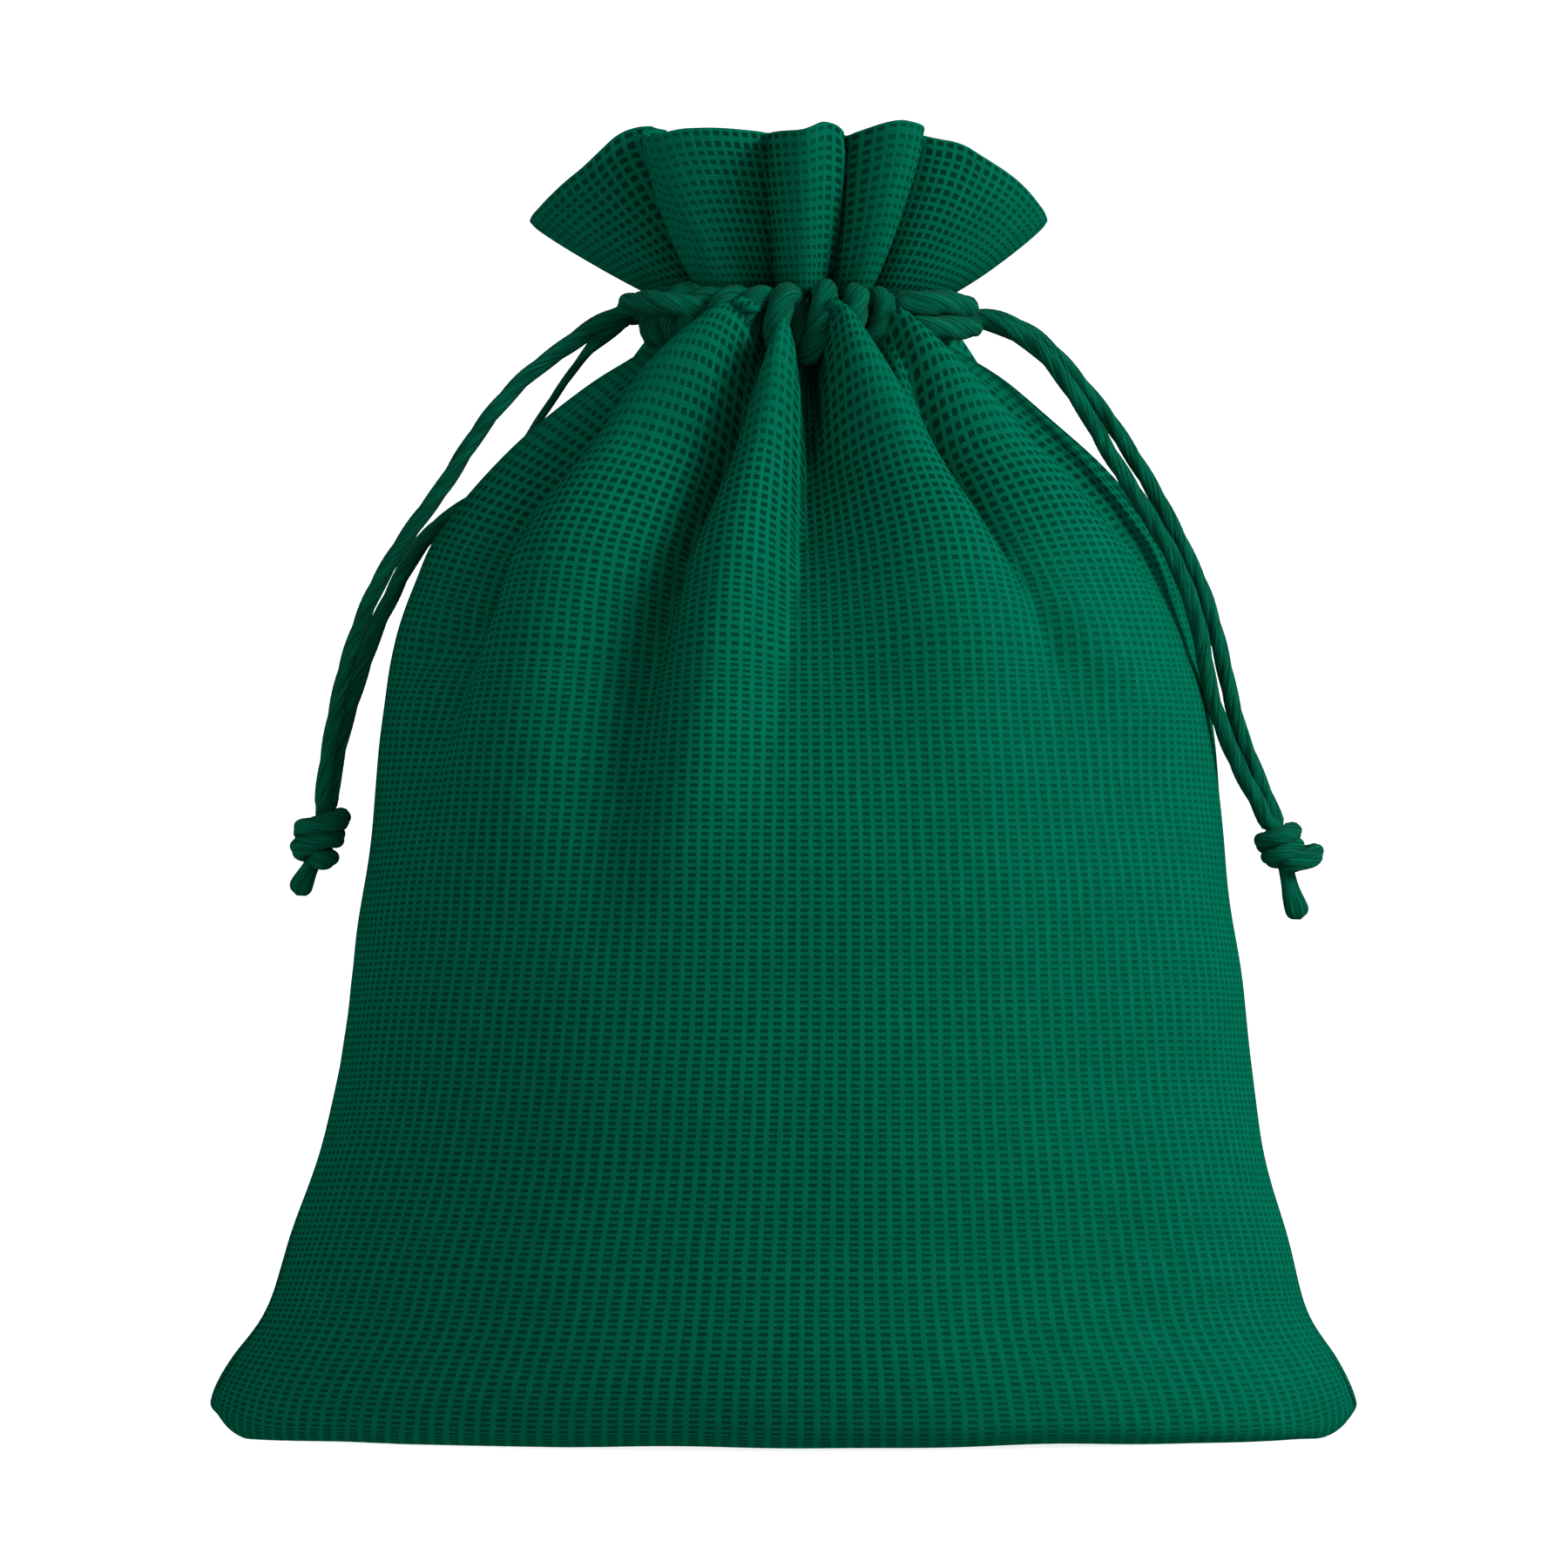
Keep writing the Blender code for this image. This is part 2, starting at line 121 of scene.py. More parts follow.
# Height of the rim from the left side seam to the right one: place, height
FRONT_RIM = [
    (-1.0, 211.9), (-0.84, 214.6), (-0.76, 216.8), (-0.69, 219.1), (-0.62, 221.5), (-0.56, 224.4),
    (-0.50, 227.6), (-0.44, 228.2), (-0.36, 225.3), (-0.28, 226.7), (-0.19, 226.9), (-0.07, 226.4),
    (0.04, 226.3), (0.11, 228.3), (0.16, 225.3), (0.21, 226.9), (0.27, 228.5), (0.36, 227.6),
    (0.45, 226.0), (0.52, 225.3), (0.584, 223.1), (0.716, 219.3), (0.84, 215.4), (1.0, 211.9),
]
BACK_RIM = [
    (-1.0, 211.9), (-0.84, 214.9), (-0.70, 219.0), (-0.56, 223.2), (-0.46, 225.6), (-0.34, 226.6),
    (-0.20, 225.4), (-0.06, 227.2), (0.10, 226.0), (0.24, 227.4), (0.36, 225.0), (0.48, 226.2),
    (0.60, 222.4), (0.72, 218.6), (0.86, 214.9), (1.0, 211.9),
]

# Folds below the neck: place at the neck, place at the lower end, depth, length, and where the ridge to the
# right of the fold has its crest, as a share of the way to the next fold
FRONT_FOLDS = [
    (-0.60, -0.68, 14.0, 112, 0.42), (-0.15, -0.33, 15.0, 130, 0.52), (0.04, -0.06, 14.0, 112, 0.70),
    (0.32, 0.46, 11.5, 92, 0.56), (0.69, 0.77, 8.0, 66, 0.50),
]
BACK_FOLDS = [
    (-0.66, -0.71, 9.0, 66, 0.42), (-0.38, -0.42, 11.5, 94, 0.62), (-0.10, -0.06, 10.5, 76, 0.40),
    (0.16, 0.22, 12.0, 98, 0.58), (0.42, 0.46, 9.5, 66, 0.50), (0.68, 0.72, 9.0, 74, 0.50),
]
# Folds of the frill: place at the neck and at the rim, depth at the neck and at the rim, crest as above
FRONT_FRILL = [
    (-0.575, -0.42, 8.0, 10.5, 0.24), (-0.150, -0.06, 8.5, 10.0, 0.50), (0.131, 0.163, 8.5, 10.0, 0.56),
    (0.392, 0.41, 8.5, 10.0, 0.45),
]
BACK_FRILL = [
    (-0.62, -0.52, 6.5, 8.5, 0.40), (-0.34, -0.24, 7.0, 9.0, 0.64), (-0.04, 0.02, 7.0, 8.0, 0.42),
    (0.24, 0.30, 7.0, 9.0, 0.60), (0.54, 0.56, 6.5, 8.0, 0.50),
]
# Pleats that stand over the cords: place and height of the tip, and the pleat's two sides at its foot
FRONT_PLEATS = [
    (-0.160, 197.8, -0.58, -0.15), (-0.055, 190.2, -0.14, 0.01), (0.115, 196.4, 0.06, 0.30),
    (0.325, 192.4, 0.30, 0.60),
]
BACK_PLEATS = [
    (-0.50, 197.0, -0.63, -0.40), (-0.22, 192.0, -0.36, -0.12), (0.02, 197.8, -0.08, 0.14),
    (0.30, 193.4, 0.18, 0.40), (0.56, 197.0, 0.44, 0.66),
]
PLEAT_FOOT = 180.0
PLEAT_HEIGHT = 9.2
# How a pleat widens below its tip (1 is a straight wedge), how round it is across (1 is a sine's arch), how
# far it reaches past its sides, and the share of the folds under it that it pulls out
PLEAT_WIDENING = 0.58
PLEAT_ROUNDNESS = 0.55
PLEAT_OVERLAP = 0.012
PLEAT_PULLS_OUT = 0.8
# Soft creases: place and height of each end, how far it stands out (below 0 it sinks), half its width
FRONT_CREASES = [
    (0.34, 160.0, 0.61, 128.0, 2.4, 5.5), (0.30, 134.0, 0.48, 114.0, -0.9, 6.0),
    (0.74, 164.0, 0.86, 138.0, -1.8, 4.5), (-0.62, 146.0, -0.86, 134.0, -1.3, 4.0),
    (-0.66, 138.0, -0.90, 122.0, 0.8, 5.0), (-0.26, 132.0, -0.42, 112.0, 1.0, 6.0),
]
BACK_CREASES = [
    (-0.36, 140.0, -0.60, 118.0, 1.2, 5.0), (0.30, 136.0, 0.56, 116.0, -1.1, 5.0),
    (0.70, 150.0, 0.86, 130.0, 1.0, 5.0),
]

# Cords: the tails, the coil round the neck with its turns, and the leads from the coil to the tails
TAIL_DIAMETER = 3.0
WRAP_DIAMETER = 4.9
WRAP_COUNT = 30
WRAP_POINTS_PER_TURN = 26
LEAD_DIAMETER = 4.4
# How far each strand of a cord stands out from the cord's middle, as a share of its half thickness
STRAND_OUT = 0.26
# The middle and the half sizes of the ring that the coil winds round
NECK_RING_X = 3.0
NECK_RING_HEIGHT = 195.0
NECK_RING_HALF_WIDTH = 24.9
NECK_RING_HALF_DEPTH = 17.0
# Where the two cords come out, and how far their two tails stand to each side of there
LEFT_EXIT = (-26.5, 0.0, 196.6)
RIGHT_EXIT = (30.3, 0.0, 195.4)
TAIL_SPACING = 1.75
# The cord inside the neck, from the exit inwards, and how much it falls on the way
RUNNER_REACHES = (-0.6, 4.0, 8.0, 12.0)
RUNNER_FALL = 0.1
# The rear tail's last points, inside the knot; the front tail's are these with x and y turned round
INTO_KNOT = [(0.2, 1.1, 0.2), (0.2, 0.8, -2.4)]
TAILS = {
    "left_tail_front": [
        (-26.6, -1.75, 196.6), (-32.3, -3.0, 194.2), (-38.8, -4.8, 189.6), (-45.2, -6.0, 184.6),
        (-51.0, -6.5, 178.2), (-55.4, -6.5, 171.9), (-59.3, -6.2, 165.8), (-63.9, -5.6, 159.6),
        (-68.1, -4.6, 153.4), (-71.5, -3.6, 147.4), (-74.0, -2.8, 141.4), (-76.1, -2.2, 135.2),
        (-77.6, -1.9, 129.2), (-78.8, -1.8, 123.2), (-79.8, -1.75, 117.0), (-80.5, -1.75, 111.4),
    ],
    "left_tail_rear": [
        (-26.6, 1.75, 196.6), (-31.0, 3.6, 193.2), (-35.0, 6.0, 189.2), (-39.0, 9.0, 184.0),
        (-42.9, 12.0, 178.4), (-47.2, 14.8, 172.2), (-52.0, 15.2, 166.8), (-57.4, 13.0, 162.4),
        (-62.0, 9.8, 158.2), (-65.6, 6.6, 153.2), (-68.5, 4.0, 147.4), (-71.2, 2.4, 141.6),
        (-73.4, 2.0, 135.4), (-75.4, 1.8, 129.2), (-77.2, 1.75, 123.0), (-78.5, 1.75, 117.0),
        (-79.2, 1.75, 111.4),
    ],
    "right_tail_front": [
        (30.4, -1.75, 195.4), (36.0, -3.2, 194.6), (41.6, -5.0, 191.8), (45.8, -6.8, 188.2),
        (49.2, -8.4, 183.6), (52.8, -9.8, 178.0), (56.2, -11.0, 171.9), (60.0, -11.8, 165.8),
        (63.8, -12.3, 159.7), (67.3, -12.6, 153.6), (69.9, -12.6, 147.5), (71.8, -12.4, 141.5),
        (73.0, -11.8, 135.4), (74.2, -10.6, 129.3), (76.4, -8.2, 123.2), (79.2, -4.9, 117.0),
        (82.4, -2.6, 111.2), (84.2, -1.75, 107.6),
    ],
    "right_tail_rear": [
        (30.4, 1.75, 195.4), (36.4, 1.5, 195.4), (42.6, -0.4, 192.9), (47.6, -2.0, 188.6),
        (51.8, -3.4, 183.6), (56.2, -4.6, 178.0), (60.2, -5.4, 171.9), (63.9, -5.8, 165.8),
        (67.2, -6.0, 159.7), (70.2, -6.0, 153.6), (72.9, -5.9, 147.5), (74.8, -5.6, 141.5),
        (76.4, -5.0, 135.4), (77.8, -4.0, 129.3), (79.5, -2.3, 123.2), (82.0, -0.2, 117.0),
        (84.5, 1.2, 111.2), (86.0, 1.6, 107.6),
    ],
}


# ---- Small sums ----


def mix(a, b, share):
    return a + (b - a) * share


def smooth(low, high, value):
    """0 below low, 1 above high, and an even turn between."""
    share = np.clip((value - low) / (high - low), 0.0, 1.0)
    return share * share * (3 - 2 * share)


def curve_at(rows, at):
    """Points of the smooth curve through rows of numbers, at places counted in rows."""
    rows = np.asarray(rows, float)
    at = np.clip(at, 0, len(rows) - 1)
    first = np.minimum(at.astype(int), len(rows) - 2)
    share = (at - first)[:, None]
    before, start, end, after = (rows[np.clip(first + k, 0, len(rows) - 1)] for k in (-1, 0, 1, 2))
    return (
        2 * start
        + (end - before) * share
        + (2 * before - 5 * start + 4 * end - after) * share**2
        + (3 * start - before - 3 * end + after) * share**3
    ) / 2


def lengths_along(points):
    """How far along the line through points each of them lies."""
    return np.concatenate([[0], np.cumsum(np.linalg.norm(np.diff(points, axis=0), axis=1))])


def even_points(points, step):
    """Points spread evenly, about a step apart, along the smooth curve through points."""
    fine = curve_at(points, np.linspace(0, len(points) - 1, 20 * len(points)))
    lengths = lengths_along(fine)
    count = max(3, int(round(lengths[-1] / step)))
    want = np.linspace(0, lengths[-1], count + 1)
    return np.stack([np.interp(want, lengths, fine[:, k]) for k in range(3)], axis=1)


def unit(rows):
    return rows / np.maximum(np.linalg.norm(rows, axis=-1, keepdims=True), 1e-12)


MIDDLE_LINE = np.array([(row[2], row[3]) for row in CLOTH_ROWS])
ROW_LENGTHS = lengths_along(MIDDLE_LINE)
CLOTH_LENGTH = ROW_LENGTHS[-1]
NECK_LENGTH = ROW_LENGTHS[NECK_ROW]


# ---- Colours and materials ----


def linear(code):
    """Linear colour of an sRGB hex code."""
    values = [int(code[i : i + 2], 16) / 255 for i in (1, 3, 5)]
    return tuple(v / 12.92 if v <= 0.04045 else ((v + 0.055) / 1.055) ** 2.4 for v in values) + (1.0,)


def plug(tree, node, inputs):
    """Gives a node's inputs their values or links. A node among them stands for its first output in use."""
    for name, value in inputs.items():
        if isinstance(value, bpy.types.Node):
            value = next(output for output in value.outputs if output.enabled)
        if isinstance(value, bpy.types.NodeSocket):
            tree.links.new(value, node.inputs[name])
        else:
            node.inputs[name].default_value = value


def add(tree, kind, inputs, **settings):
    """Adds a shader node with its settings and its inputs."""
    node = tree.nodes.new(f"ShaderNode{kind}")
    for name, value in settings.items():
        setattr(node, name, value)
    plug(tree, node, inputs)
    return node


def new_material(name, roughness, sheen):
    """A material with a cloth-like surface and nothing else yet: its tree and its shader."""
    material = bpy.data.materials.new(name)
    material.use_nodes = True
    shader = material.node_tree.nodes["Principled BSDF"]
    shader.inputs["Roughness"].default_value = roughness
    shader.inputs["Specular IOR Level"].default_value = 0.0
    shader.inputs["Sheen Weight"].default_value = sheen
    shader.inputs["Sheen Roughness"].default_value = 0.5
    return material, material.node_tree, shader


def coarse_woven_cotton(settings):
    """Coarse open-weave cotton, dyed green: ribs and wefts nearly alike, and each hole between them dark
    with painted shade.

    The threads run with the cloth, so the pattern is on its own UV map, which counts columns and rows of
    holes. A column is about 2.1 mm wide. The attributes say how open each hole is and how dark its painted
    shade is.
    """
    material, tree, shader = new_material("coarse_woven_cotton", 0.9, 0.0)
    cells = add(tree, "UVMap", {}, uv_map="weave")
    split = add(tree, "SeparateXYZ", {0: cells})
    openness = add(tree, "Attribute", {}, attribute_name="open").outputs["Fac"]
    # Each thread wanders a little, as spun cotton does
    wander = add(tree, "TexNoise", {"Vector": cells, "Scale": 0.55, "Detail": 1.0})
    sway = add(tree, "Math", {0: wander, 1: 0.2, 2: -0.1}, operation="MULTIPLY_ADD")
    column = add(tree, "Math", {0: split.outputs["X"], 1: sway}, operation="ADD")
    line = add(tree, "Math", {0: split.outputs["Y"], 1: sway}, operation="ADD")
    across = add(tree, "Math", {0: column, 1: 0.5}, operation="PINGPONG")
    along = add(tree, "Math", {0: line, 1: 0.5}, operation="PINGPONG")
    rib_range = {"Value": across, "From Min": 0.25, "From Max": 0.14}
    rib = add(tree, "MapRange", rib_range, interpolation_type="SMOOTHSTEP")
    # A weft covers what the hole leaves of its row, with a soft edge
    edge = add(tree, "Math", {0: openness, 1: -0.5, 2: 0.5}, operation="MULTIPLY_ADD")
    near = add(tree, "Math", {0: edge, 1: 0.09}, operation="ADD")
    far = add(tree, "Math", {0: edge, 1: 0.09}, operation="SUBTRACT")
    weft_range = {"Value": along, "From Min": near, "From Max": far, "To Max": 0.92}
    weft = add(tree, "MapRange", weft_range, interpolation_type="SMOOTHSTEP")
    height = add(tree, "Math", {0: rib, 1: weft}, operation="MAXIMUM")
    # Fibres: slow streaks along the ribs, and a fine fuzz
    stretch = add(tree, "Mapping", {"Vector": cells, "Scale": (1.9, 0.16, 1.0)})
    streak = add(tree, "TexNoise", {"Vector": stretch, "Scale": 1.0, "Detail": 2.0})
    fuzz = add(tree, "TexNoise", {"Vector": cells, "Scale": 4.5, "Detail": 2.0})
    dyes = {"Factor": rib, "A": linear(settings.weft_colour), "B": linear(settings.rib_colour)}
    yarn = add(tree, "Mix", dyes, data_type="RGBA")
    streak_range = {"Value": streak, "From Min": 0.25, "From Max": 0.75, "To Min": 0.86, "To Max": 1.1}
    tone = add(tree, "MapRange", streak_range)
    toned = add(tree, "Mix", {"Factor": 1.0, "A": yarn, "B": tone}, data_type="RGBA", blend_type="MULTIPLY")
    solid_range = {"Value": height, "From Min": 0.12, "From Max": 0.62}
    solid = add(tree, "MapRange", solid_range, interpolation_type="SMOOTHSTEP")
    hole = add(tree, "Math", {0: 1.0, 1: solid}, operation="SUBTRACT")
    # Painted shade in the holes: each hole takes the dark painted shade colour, for the shade seen through
    # it, as strongly as the "dark" attribute says
    painted_hole_shade = add(tree, "Attribute", {}, attribute_name="dark").outputs["Fac"]
    painted_shade_share = add(tree, "Math", {0: hole, 1: painted_hole_shade}, operation="MULTIPLY")
    shades = {"Factor": painted_shade_share, "A": toned, "B": linear(settings.hole_colour)}
    cloth = add(tree, "Mix", shades, data_type="RGBA")
    relief = add(tree, "Math", {0: fuzz, 1: 0.25, 2: height}, operation="MULTIPLY_ADD")
    bump = add(tree, "Bump", {"Height": relief, "Strength": 0.6, "Distance": 0.3 * MM})
    plug(tree, shader, {"Base Color": cloth, "Normal": bump})
    return material


def twisted_cotton_cord(settings):
    """Soft twisted cotton cord in the cloth's green: its fibres follow the twist and show as dark streaks.

    The UV map counts millimetres round the cord and along it, and turns with the twist.
    """
    material, tree, shader = new_material("twisted_cotton_cord", 0.8, 0.02)
    place = add(tree, "UVMap", {}, uv_map="fibre")
    stretch = add(tree, "Mapping", {"Vector": place, "Scale": (2.2, 0.16, 1.0)})
    fibre = add(tree, "TexNoise", {"Vector": stretch, "Scale": 1.0, "Detail": 3.0, "Roughness": 0.6})
    tone = add(tree, "MapRange", {"Value": fibre, "From Min": 0.36, "From Max": 0.64})
    dyes = {"Factor": tone, "A": linear(settings.shade_colour), "B": linear(settings.cord_colour)}
    yarn = add(tree, "Mix", dyes, data_type="RGBA")
    bump = add(tree, "Bump", {"Height": fibre, "Distance": 0.8 * MM})
    plug(tree, shader, {"Base Color": yarn, "Normal": bump})
    return material


def overlocked_edge(settings):
    """The cloth's cut edge under close overlock stitches: fine ridges across the edge, a shade darker, with
    painted shade in the gaps between them.
    """
    material, tree, shader = new_material("overlocked_edge", 0.9, 0.0)
    place = add(tree, "UVMap", {}, uv_map="fibre")
    # Stitches 0.9 mm apart, slanted a little across the edge
    slant = add(tree, "Mapping", {"Vector": place, "Scale": (1 / 0.9, 0.35, 1.0)})
    waves = {"Vector": slant, "Scale": 0.32, "Distortion": 0.8, "Detail": 1.0}
    stitch = add(tree, "TexWave", waves, wave_type="BANDS", bands_direction="X").outputs["Fac"]
    # Painted shade: the gaps between the stitches take the painted shade colour
    dyes = {"Factor": stitch, "A": linear(settings.hole_colour), "B": linear(settings.weft_colour)}
    thread = add(tree, "Mix", dyes, data_type="RGBA")
    bump = add(tree, "Bump", {"Height": stitch, "Strength": 0.8, "Distance": 0.3 * MM})
    plug(tree, shader, {"Base Color": thread, "Normal": bump})
    return material


def finish_of(maker, settings):
    """The material that a maker makes, made once."""
    return bpy.data.materials.get(maker.__name__) or maker(settings)


# ---- Cloth ----


def rim_height(rim, place):
    """Height of the rim: the mean over places close by, which eases the corners of its outline."""
    places, heights = zip(*rim)
    near = (-0.024, -0.012, 0, 0.012, 0.024)
    return sum(np.interp(place + step, places, heights) for step in near) / len(near)


def filled_surface(side, place, length):
    """Points of the filled sack before its folds, in mm, on the front's side of the seam."""
    row = np.interp(length, ROW_LENGTHS, np.arange(len(CLOTH_ROWS)))
    half_width, side_height, half_depth, middle_height, pointed, shift = curve_at(CLOTH_ROWS, row).T
    turn = math.pi / 2 * np.clip(place, -1, 1)
    # The height turns from the middle's to the side's near the seams, and earlier near the bottom
    lift = smooth(mix(0.55, 0.76, smooth(55, 20, length)), 1.0, np.abs(place))
    height = mix(middle_height, side_height, lift)
    risen = np.clip((middle_height - NECK_HEIGHT) / (RIM_HEIGHT - NECK_HEIGHT), 0, 1)
    frill = NECK_HEIGHT + (rim_height(side["rim"], place) - NECK_HEIGHT) * risen
    height = np.where(length > NECK_LENGTH, frill, height)
    depth = EDGE_GAP + half_depth * np.maximum(np.cos(turn), 0) ** pointed
    return np.stack([shift + half_width * np.sin(turn), -depth, height], axis=1)


def outward(side, place, length):
    """The direction out of the filled sack at each point: sideways at the seams, level from the neck up."""
    step, rise = 0.004, 0.4
    across = filled_surface(side, place + step, length) - filled_surface(side, place - step, length)
    up = filled_surface(side, place, length + rise) - filled_surface(side, place, length - rise)
    direction = unit(np.cross(across, up))
    direction[:, 1] *= 1 - smooth(0.9, 1.0, np.abs(place))
    direction[:, 2] *= 1 - smooth(NECK_LENGTH - 4, NECK_LENGTH + 4, length)
    return unit(direction)


def fold_ridges(valleys, depths, crests, place, sharpness):
    """How far the folds draw the cloth in, and how near each point is to a crest.

    valleys and depths have a row for each fold, from left to right. Both seams count as crests, because the
    outermost folds are repeated beyond them.
    """
    valleys = np.vstack([-2 - valleys[:1], valleys, 2 - valleys[-1:]])
    depths = np.vstack([depths[:1], depths, depths[-1:]])
    crests = np.array([0.5, *crests[:-1], 0.5])
    cell = np.clip((place >= valleys).sum(axis=0), 1, len(valleys) - 1)[None]
    left, right = (np.take_along_axis(valleys, cell + k, 0)[0] for k in (-1, 0))
    deep_left, deep_right = (np.take_along_axis(depths, cell + k, 0)[0] for k in (-1, 0))
    share = np.clip((place - left) / (right - left), 0, 1)
    crest = crests[cell[0] - 1]
    # The power that brings the crest to the middle of the arch
    warped = share ** (math.log(0.5) / np.log(crest))
    ridge = np.sin(math.pi * np.clip(warped, 0, 1)) ** sharpness
    return (1 - ridge) * mix(deep_left, deep_right, smooth(0, 1, share)), ridge


def body_folds(side, place, length):
    """Folds that run down from the neck, shallower under the cords, rounder further down, and fade."""
    below = np.maximum(NECK_LENGTH - length, 0)
    rows = np.array(side["folds"])
    reach = rows[:, 3:4]
    valleys = mix(rows[:, 0:1], rows[:, 1:2], np.clip(below / reach, 0, 1))
    depths = rows[:, 2:3] * mix(0.55, 1.0, smooth(0, 24, below)) * (1 - smooth(0.38, 1, below / reach))
    return fold_ridges(valleys, depths, rows[:, 4], place, mix(0.62, 1.3, smooth(45, 95, below)))


def frill_folds(side, place, length):
    """Folds that fan out from the neck to the rim."""
    risen = np.clip((length - NECK_LENGTH) / (CLOTH_LENGTH - NECK_LENGTH), 0, 1)
    rows = np.array(side["frill"])
    valleys = mix(rows[:, 0:1], rows[:, 1:2], risen)
    depths = mix(rows[:, 2:3], rows[:, 3:4], risen)
    return fold_ridges(valleys, depths, rows[:, 4], place, mix(0.5, 0.62, risen))


def pleats(side, place, height):
    """How far the pleats stand out over the cords."""
    found = np.zeros(len(place))
    for tip_place, tip_height, left_foot, right_foot in side["pleats"]:
        down = np.clip((tip_height - height) / (tip_height - PLEAT_FOOT), 0, 1.6) ** PLEAT_WIDENING
        left = mix(tip_place, left_foot, down) - PLEAT_OVERLAP
        right = mix(tip_place, right_foot, down) + PLEAT_OVERLAP
        share = np.clip((place - left) / (right - left), 0, 1)
        starts = smooth(PLEAT_FOOT - 8, PLEAT_FOOT + 10, height)
        ends = smooth(tip_height + 1.0, tip_height - 2.6, height)
        rise = PLEAT_HEIGHT * (starts * ends)
        found = np.maximum(found, rise * np.sin(math.pi * share) ** PLEAT_ROUNDNESS)
    return found


def creases(side, place, height):
    """Soft creases across the body."""
    total = np.zeros(len(place))
    for place_a, height_a, place_b, height_b, stands, half in side["creases"]:
        start, end = np.array([place_a * BODY_RADIUS, height_a]), np.array([place_b * BODY_RADIUS, height_b])
        here = np.stack([place * BODY_RADIUS, height], axis=1) - start
        line = end - start
        along = np.clip(here @ line / (line @ line), 0, 1)
        away = np.linalg.norm(here - along[:, None] * line, axis=1)
        total += stands * np.exp(-((away / half) ** 2)) * np.sin(math.pi * np.clip(along, 0.08, 0.92)) ** 0.5
    return total


def wrinkles(place, length, phase):
    """A slow unevenness of crossing waves, so that no stretch of cloth is a perfect curve."""
    a = np.sin(9.1 * place + 0.061 * length + phase) * np.sin(0.083 * length - 5.3 * place + 2 * phase)
    b = np.sin(17.3 * place - 0.117 * length + 3 * phase) * np.sin(0.151 * length + 11.9 * place + phase)
    return 0.55 * a + 0.22 * b


def cloth_points(side, place, length, inside=0.0):
    """Points of the folded cloth in mm, and how near each is to the crest of a fold."""
    base = filled_surface(side, place, length)
    out = outward(side, place, length)
    height = base[:, 2]
    over_neck = smooth(NECK_LENGTH - 3, NECK_LENGTH + 3, length)
    body_in, body_crest = body_folds(side, place, length)
    frill_in, frill_crest = frill_folds(side, place, length)
    # Creases and wrinkles lie between the bottom and the gathers
    lying = smooth(0, 44, length) * (1 - smooth(NECK_LENGTH - 30, NECK_LENGTH - 8, length))
    lifted = np.where(length < NECK_LENGTH + 3, pleats(side, place, height), 0)
    stand = (
        lifted
        + creases(side, place, height) * lying
        + wrinkles(place, length, side["phase"]) * lying
        - mix(body_in, frill_in, over_neck) * (1 - PLEAT_PULLS_OUT * lifted / PLEAT_HEIGHT)
        - inside
    )
    from_seam = (1 - np.abs(place)) / SEAM_PINCH_REACH
    stand -= SEAM_PINCH * np.exp(-(from_seam**2)) * smooth(0, 60, length)
    points = base + out * stand[:, None]
    points[:, 1] = np.minimum(points[:, 1], -EDGE_GAP)
    points[:, 2] = np.maximum(points[:, 2], 0.0)
    crest = mix(body_crest * smooth(60, 20, NECK_LENGTH - length), frill_crest, over_neck)
    return points, crest


SIDES = {
    "front": {
        "rim": FRONT_RIM, "folds": FRONT_FOLDS, "frill": FRONT_FRILL, "pleats": FRONT_PLEATS,
        "creases": FRONT_CREASES, "phase": 0.7, "facing": 1,
    },
    "back": {
        "rim": BACK_RIM, "folds": BACK_FOLDS, "frill": BACK_FRILL, "pleats": BACK_PLEATS,
        "creases": BACK_CREASES, "phase": 2.9, "facing": -1,
    },
}
# How the rows of the grid are spread: share of the rows, share of the cloth's length
ROW_SPREAD = [(0, 0), (0.07, 0.115), (0.15, 0.19), (0.52, 0.66), (0.62, 0.775), (0.82, 0.885), (1, 1)]
# The weave: columns of holes across one cloth, and millimetres from row to row
COLUMNS_BODY = 90
COLUMNS_FRILL = 72
ROW_PITCH_BODY = 1.14
ROW_PITCH_FRILL = 1.72


def weave_rows():
    """How many rows of holes lie below each length of cloth: rows of lengths and counts."""
    lengths = np.linspace(0, CLOTH_LENGTH, 400)
    at_shoulder = np.interp(SHOULDER_HEIGHT, MIDDLE_LINE[:, 1], ROW_LENGTHS)
    pitch = mix(ROW_PITCH_BODY, ROW_PITCH_FRILL, smooth(at_shoulder - 30, at_shoulder + 15, lengths))
    return lengths, np.concatenate([[0], np.cumsum(np.diff(lengths) / pitch[1:])])


def smooth_mesh(name, bm):
    """A smooth mesh made of a bmesh."""
    mesh = bpy.data.meshes.new(name)
    bm.to_mesh(mesh)
    bm.free()
    mesh.shade_smooth()
    return mesh


def in_scene(name, data):
    """An object of the data, in the scene."""
    made = bpy.data.objects.new(name, data)
    bpy.context.scene.collection.objects.link(made)
    return made


def lay_map(bm, layer, place_of):
    """Fills a UV map of a bmesh with the place that each vertex has on it."""
    for face in bm.faces:
        for loop in face.loops:
            loop[layer].uv = place_of(loop.vert)


def turn_outwards(bm):
    """Turns the faces of a closed bmesh outwards."""
    bmesh.ops.recalc_face_normals(bm, faces=list(bm.faces))
    if bm.calc_volume(signed=True) < 0:
        bmesh.ops.reverse_faces(bm, faces=list(bm.faces))


def finished(name, bm, material, body):
    """An object made of a bmesh, smooth, with a material, riding on a body."""
    mesh = smooth_mesh(name, bm)
    mesh.materials.append(material)
    made = in_scene(name, mesh)
    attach(made, body)
    return made


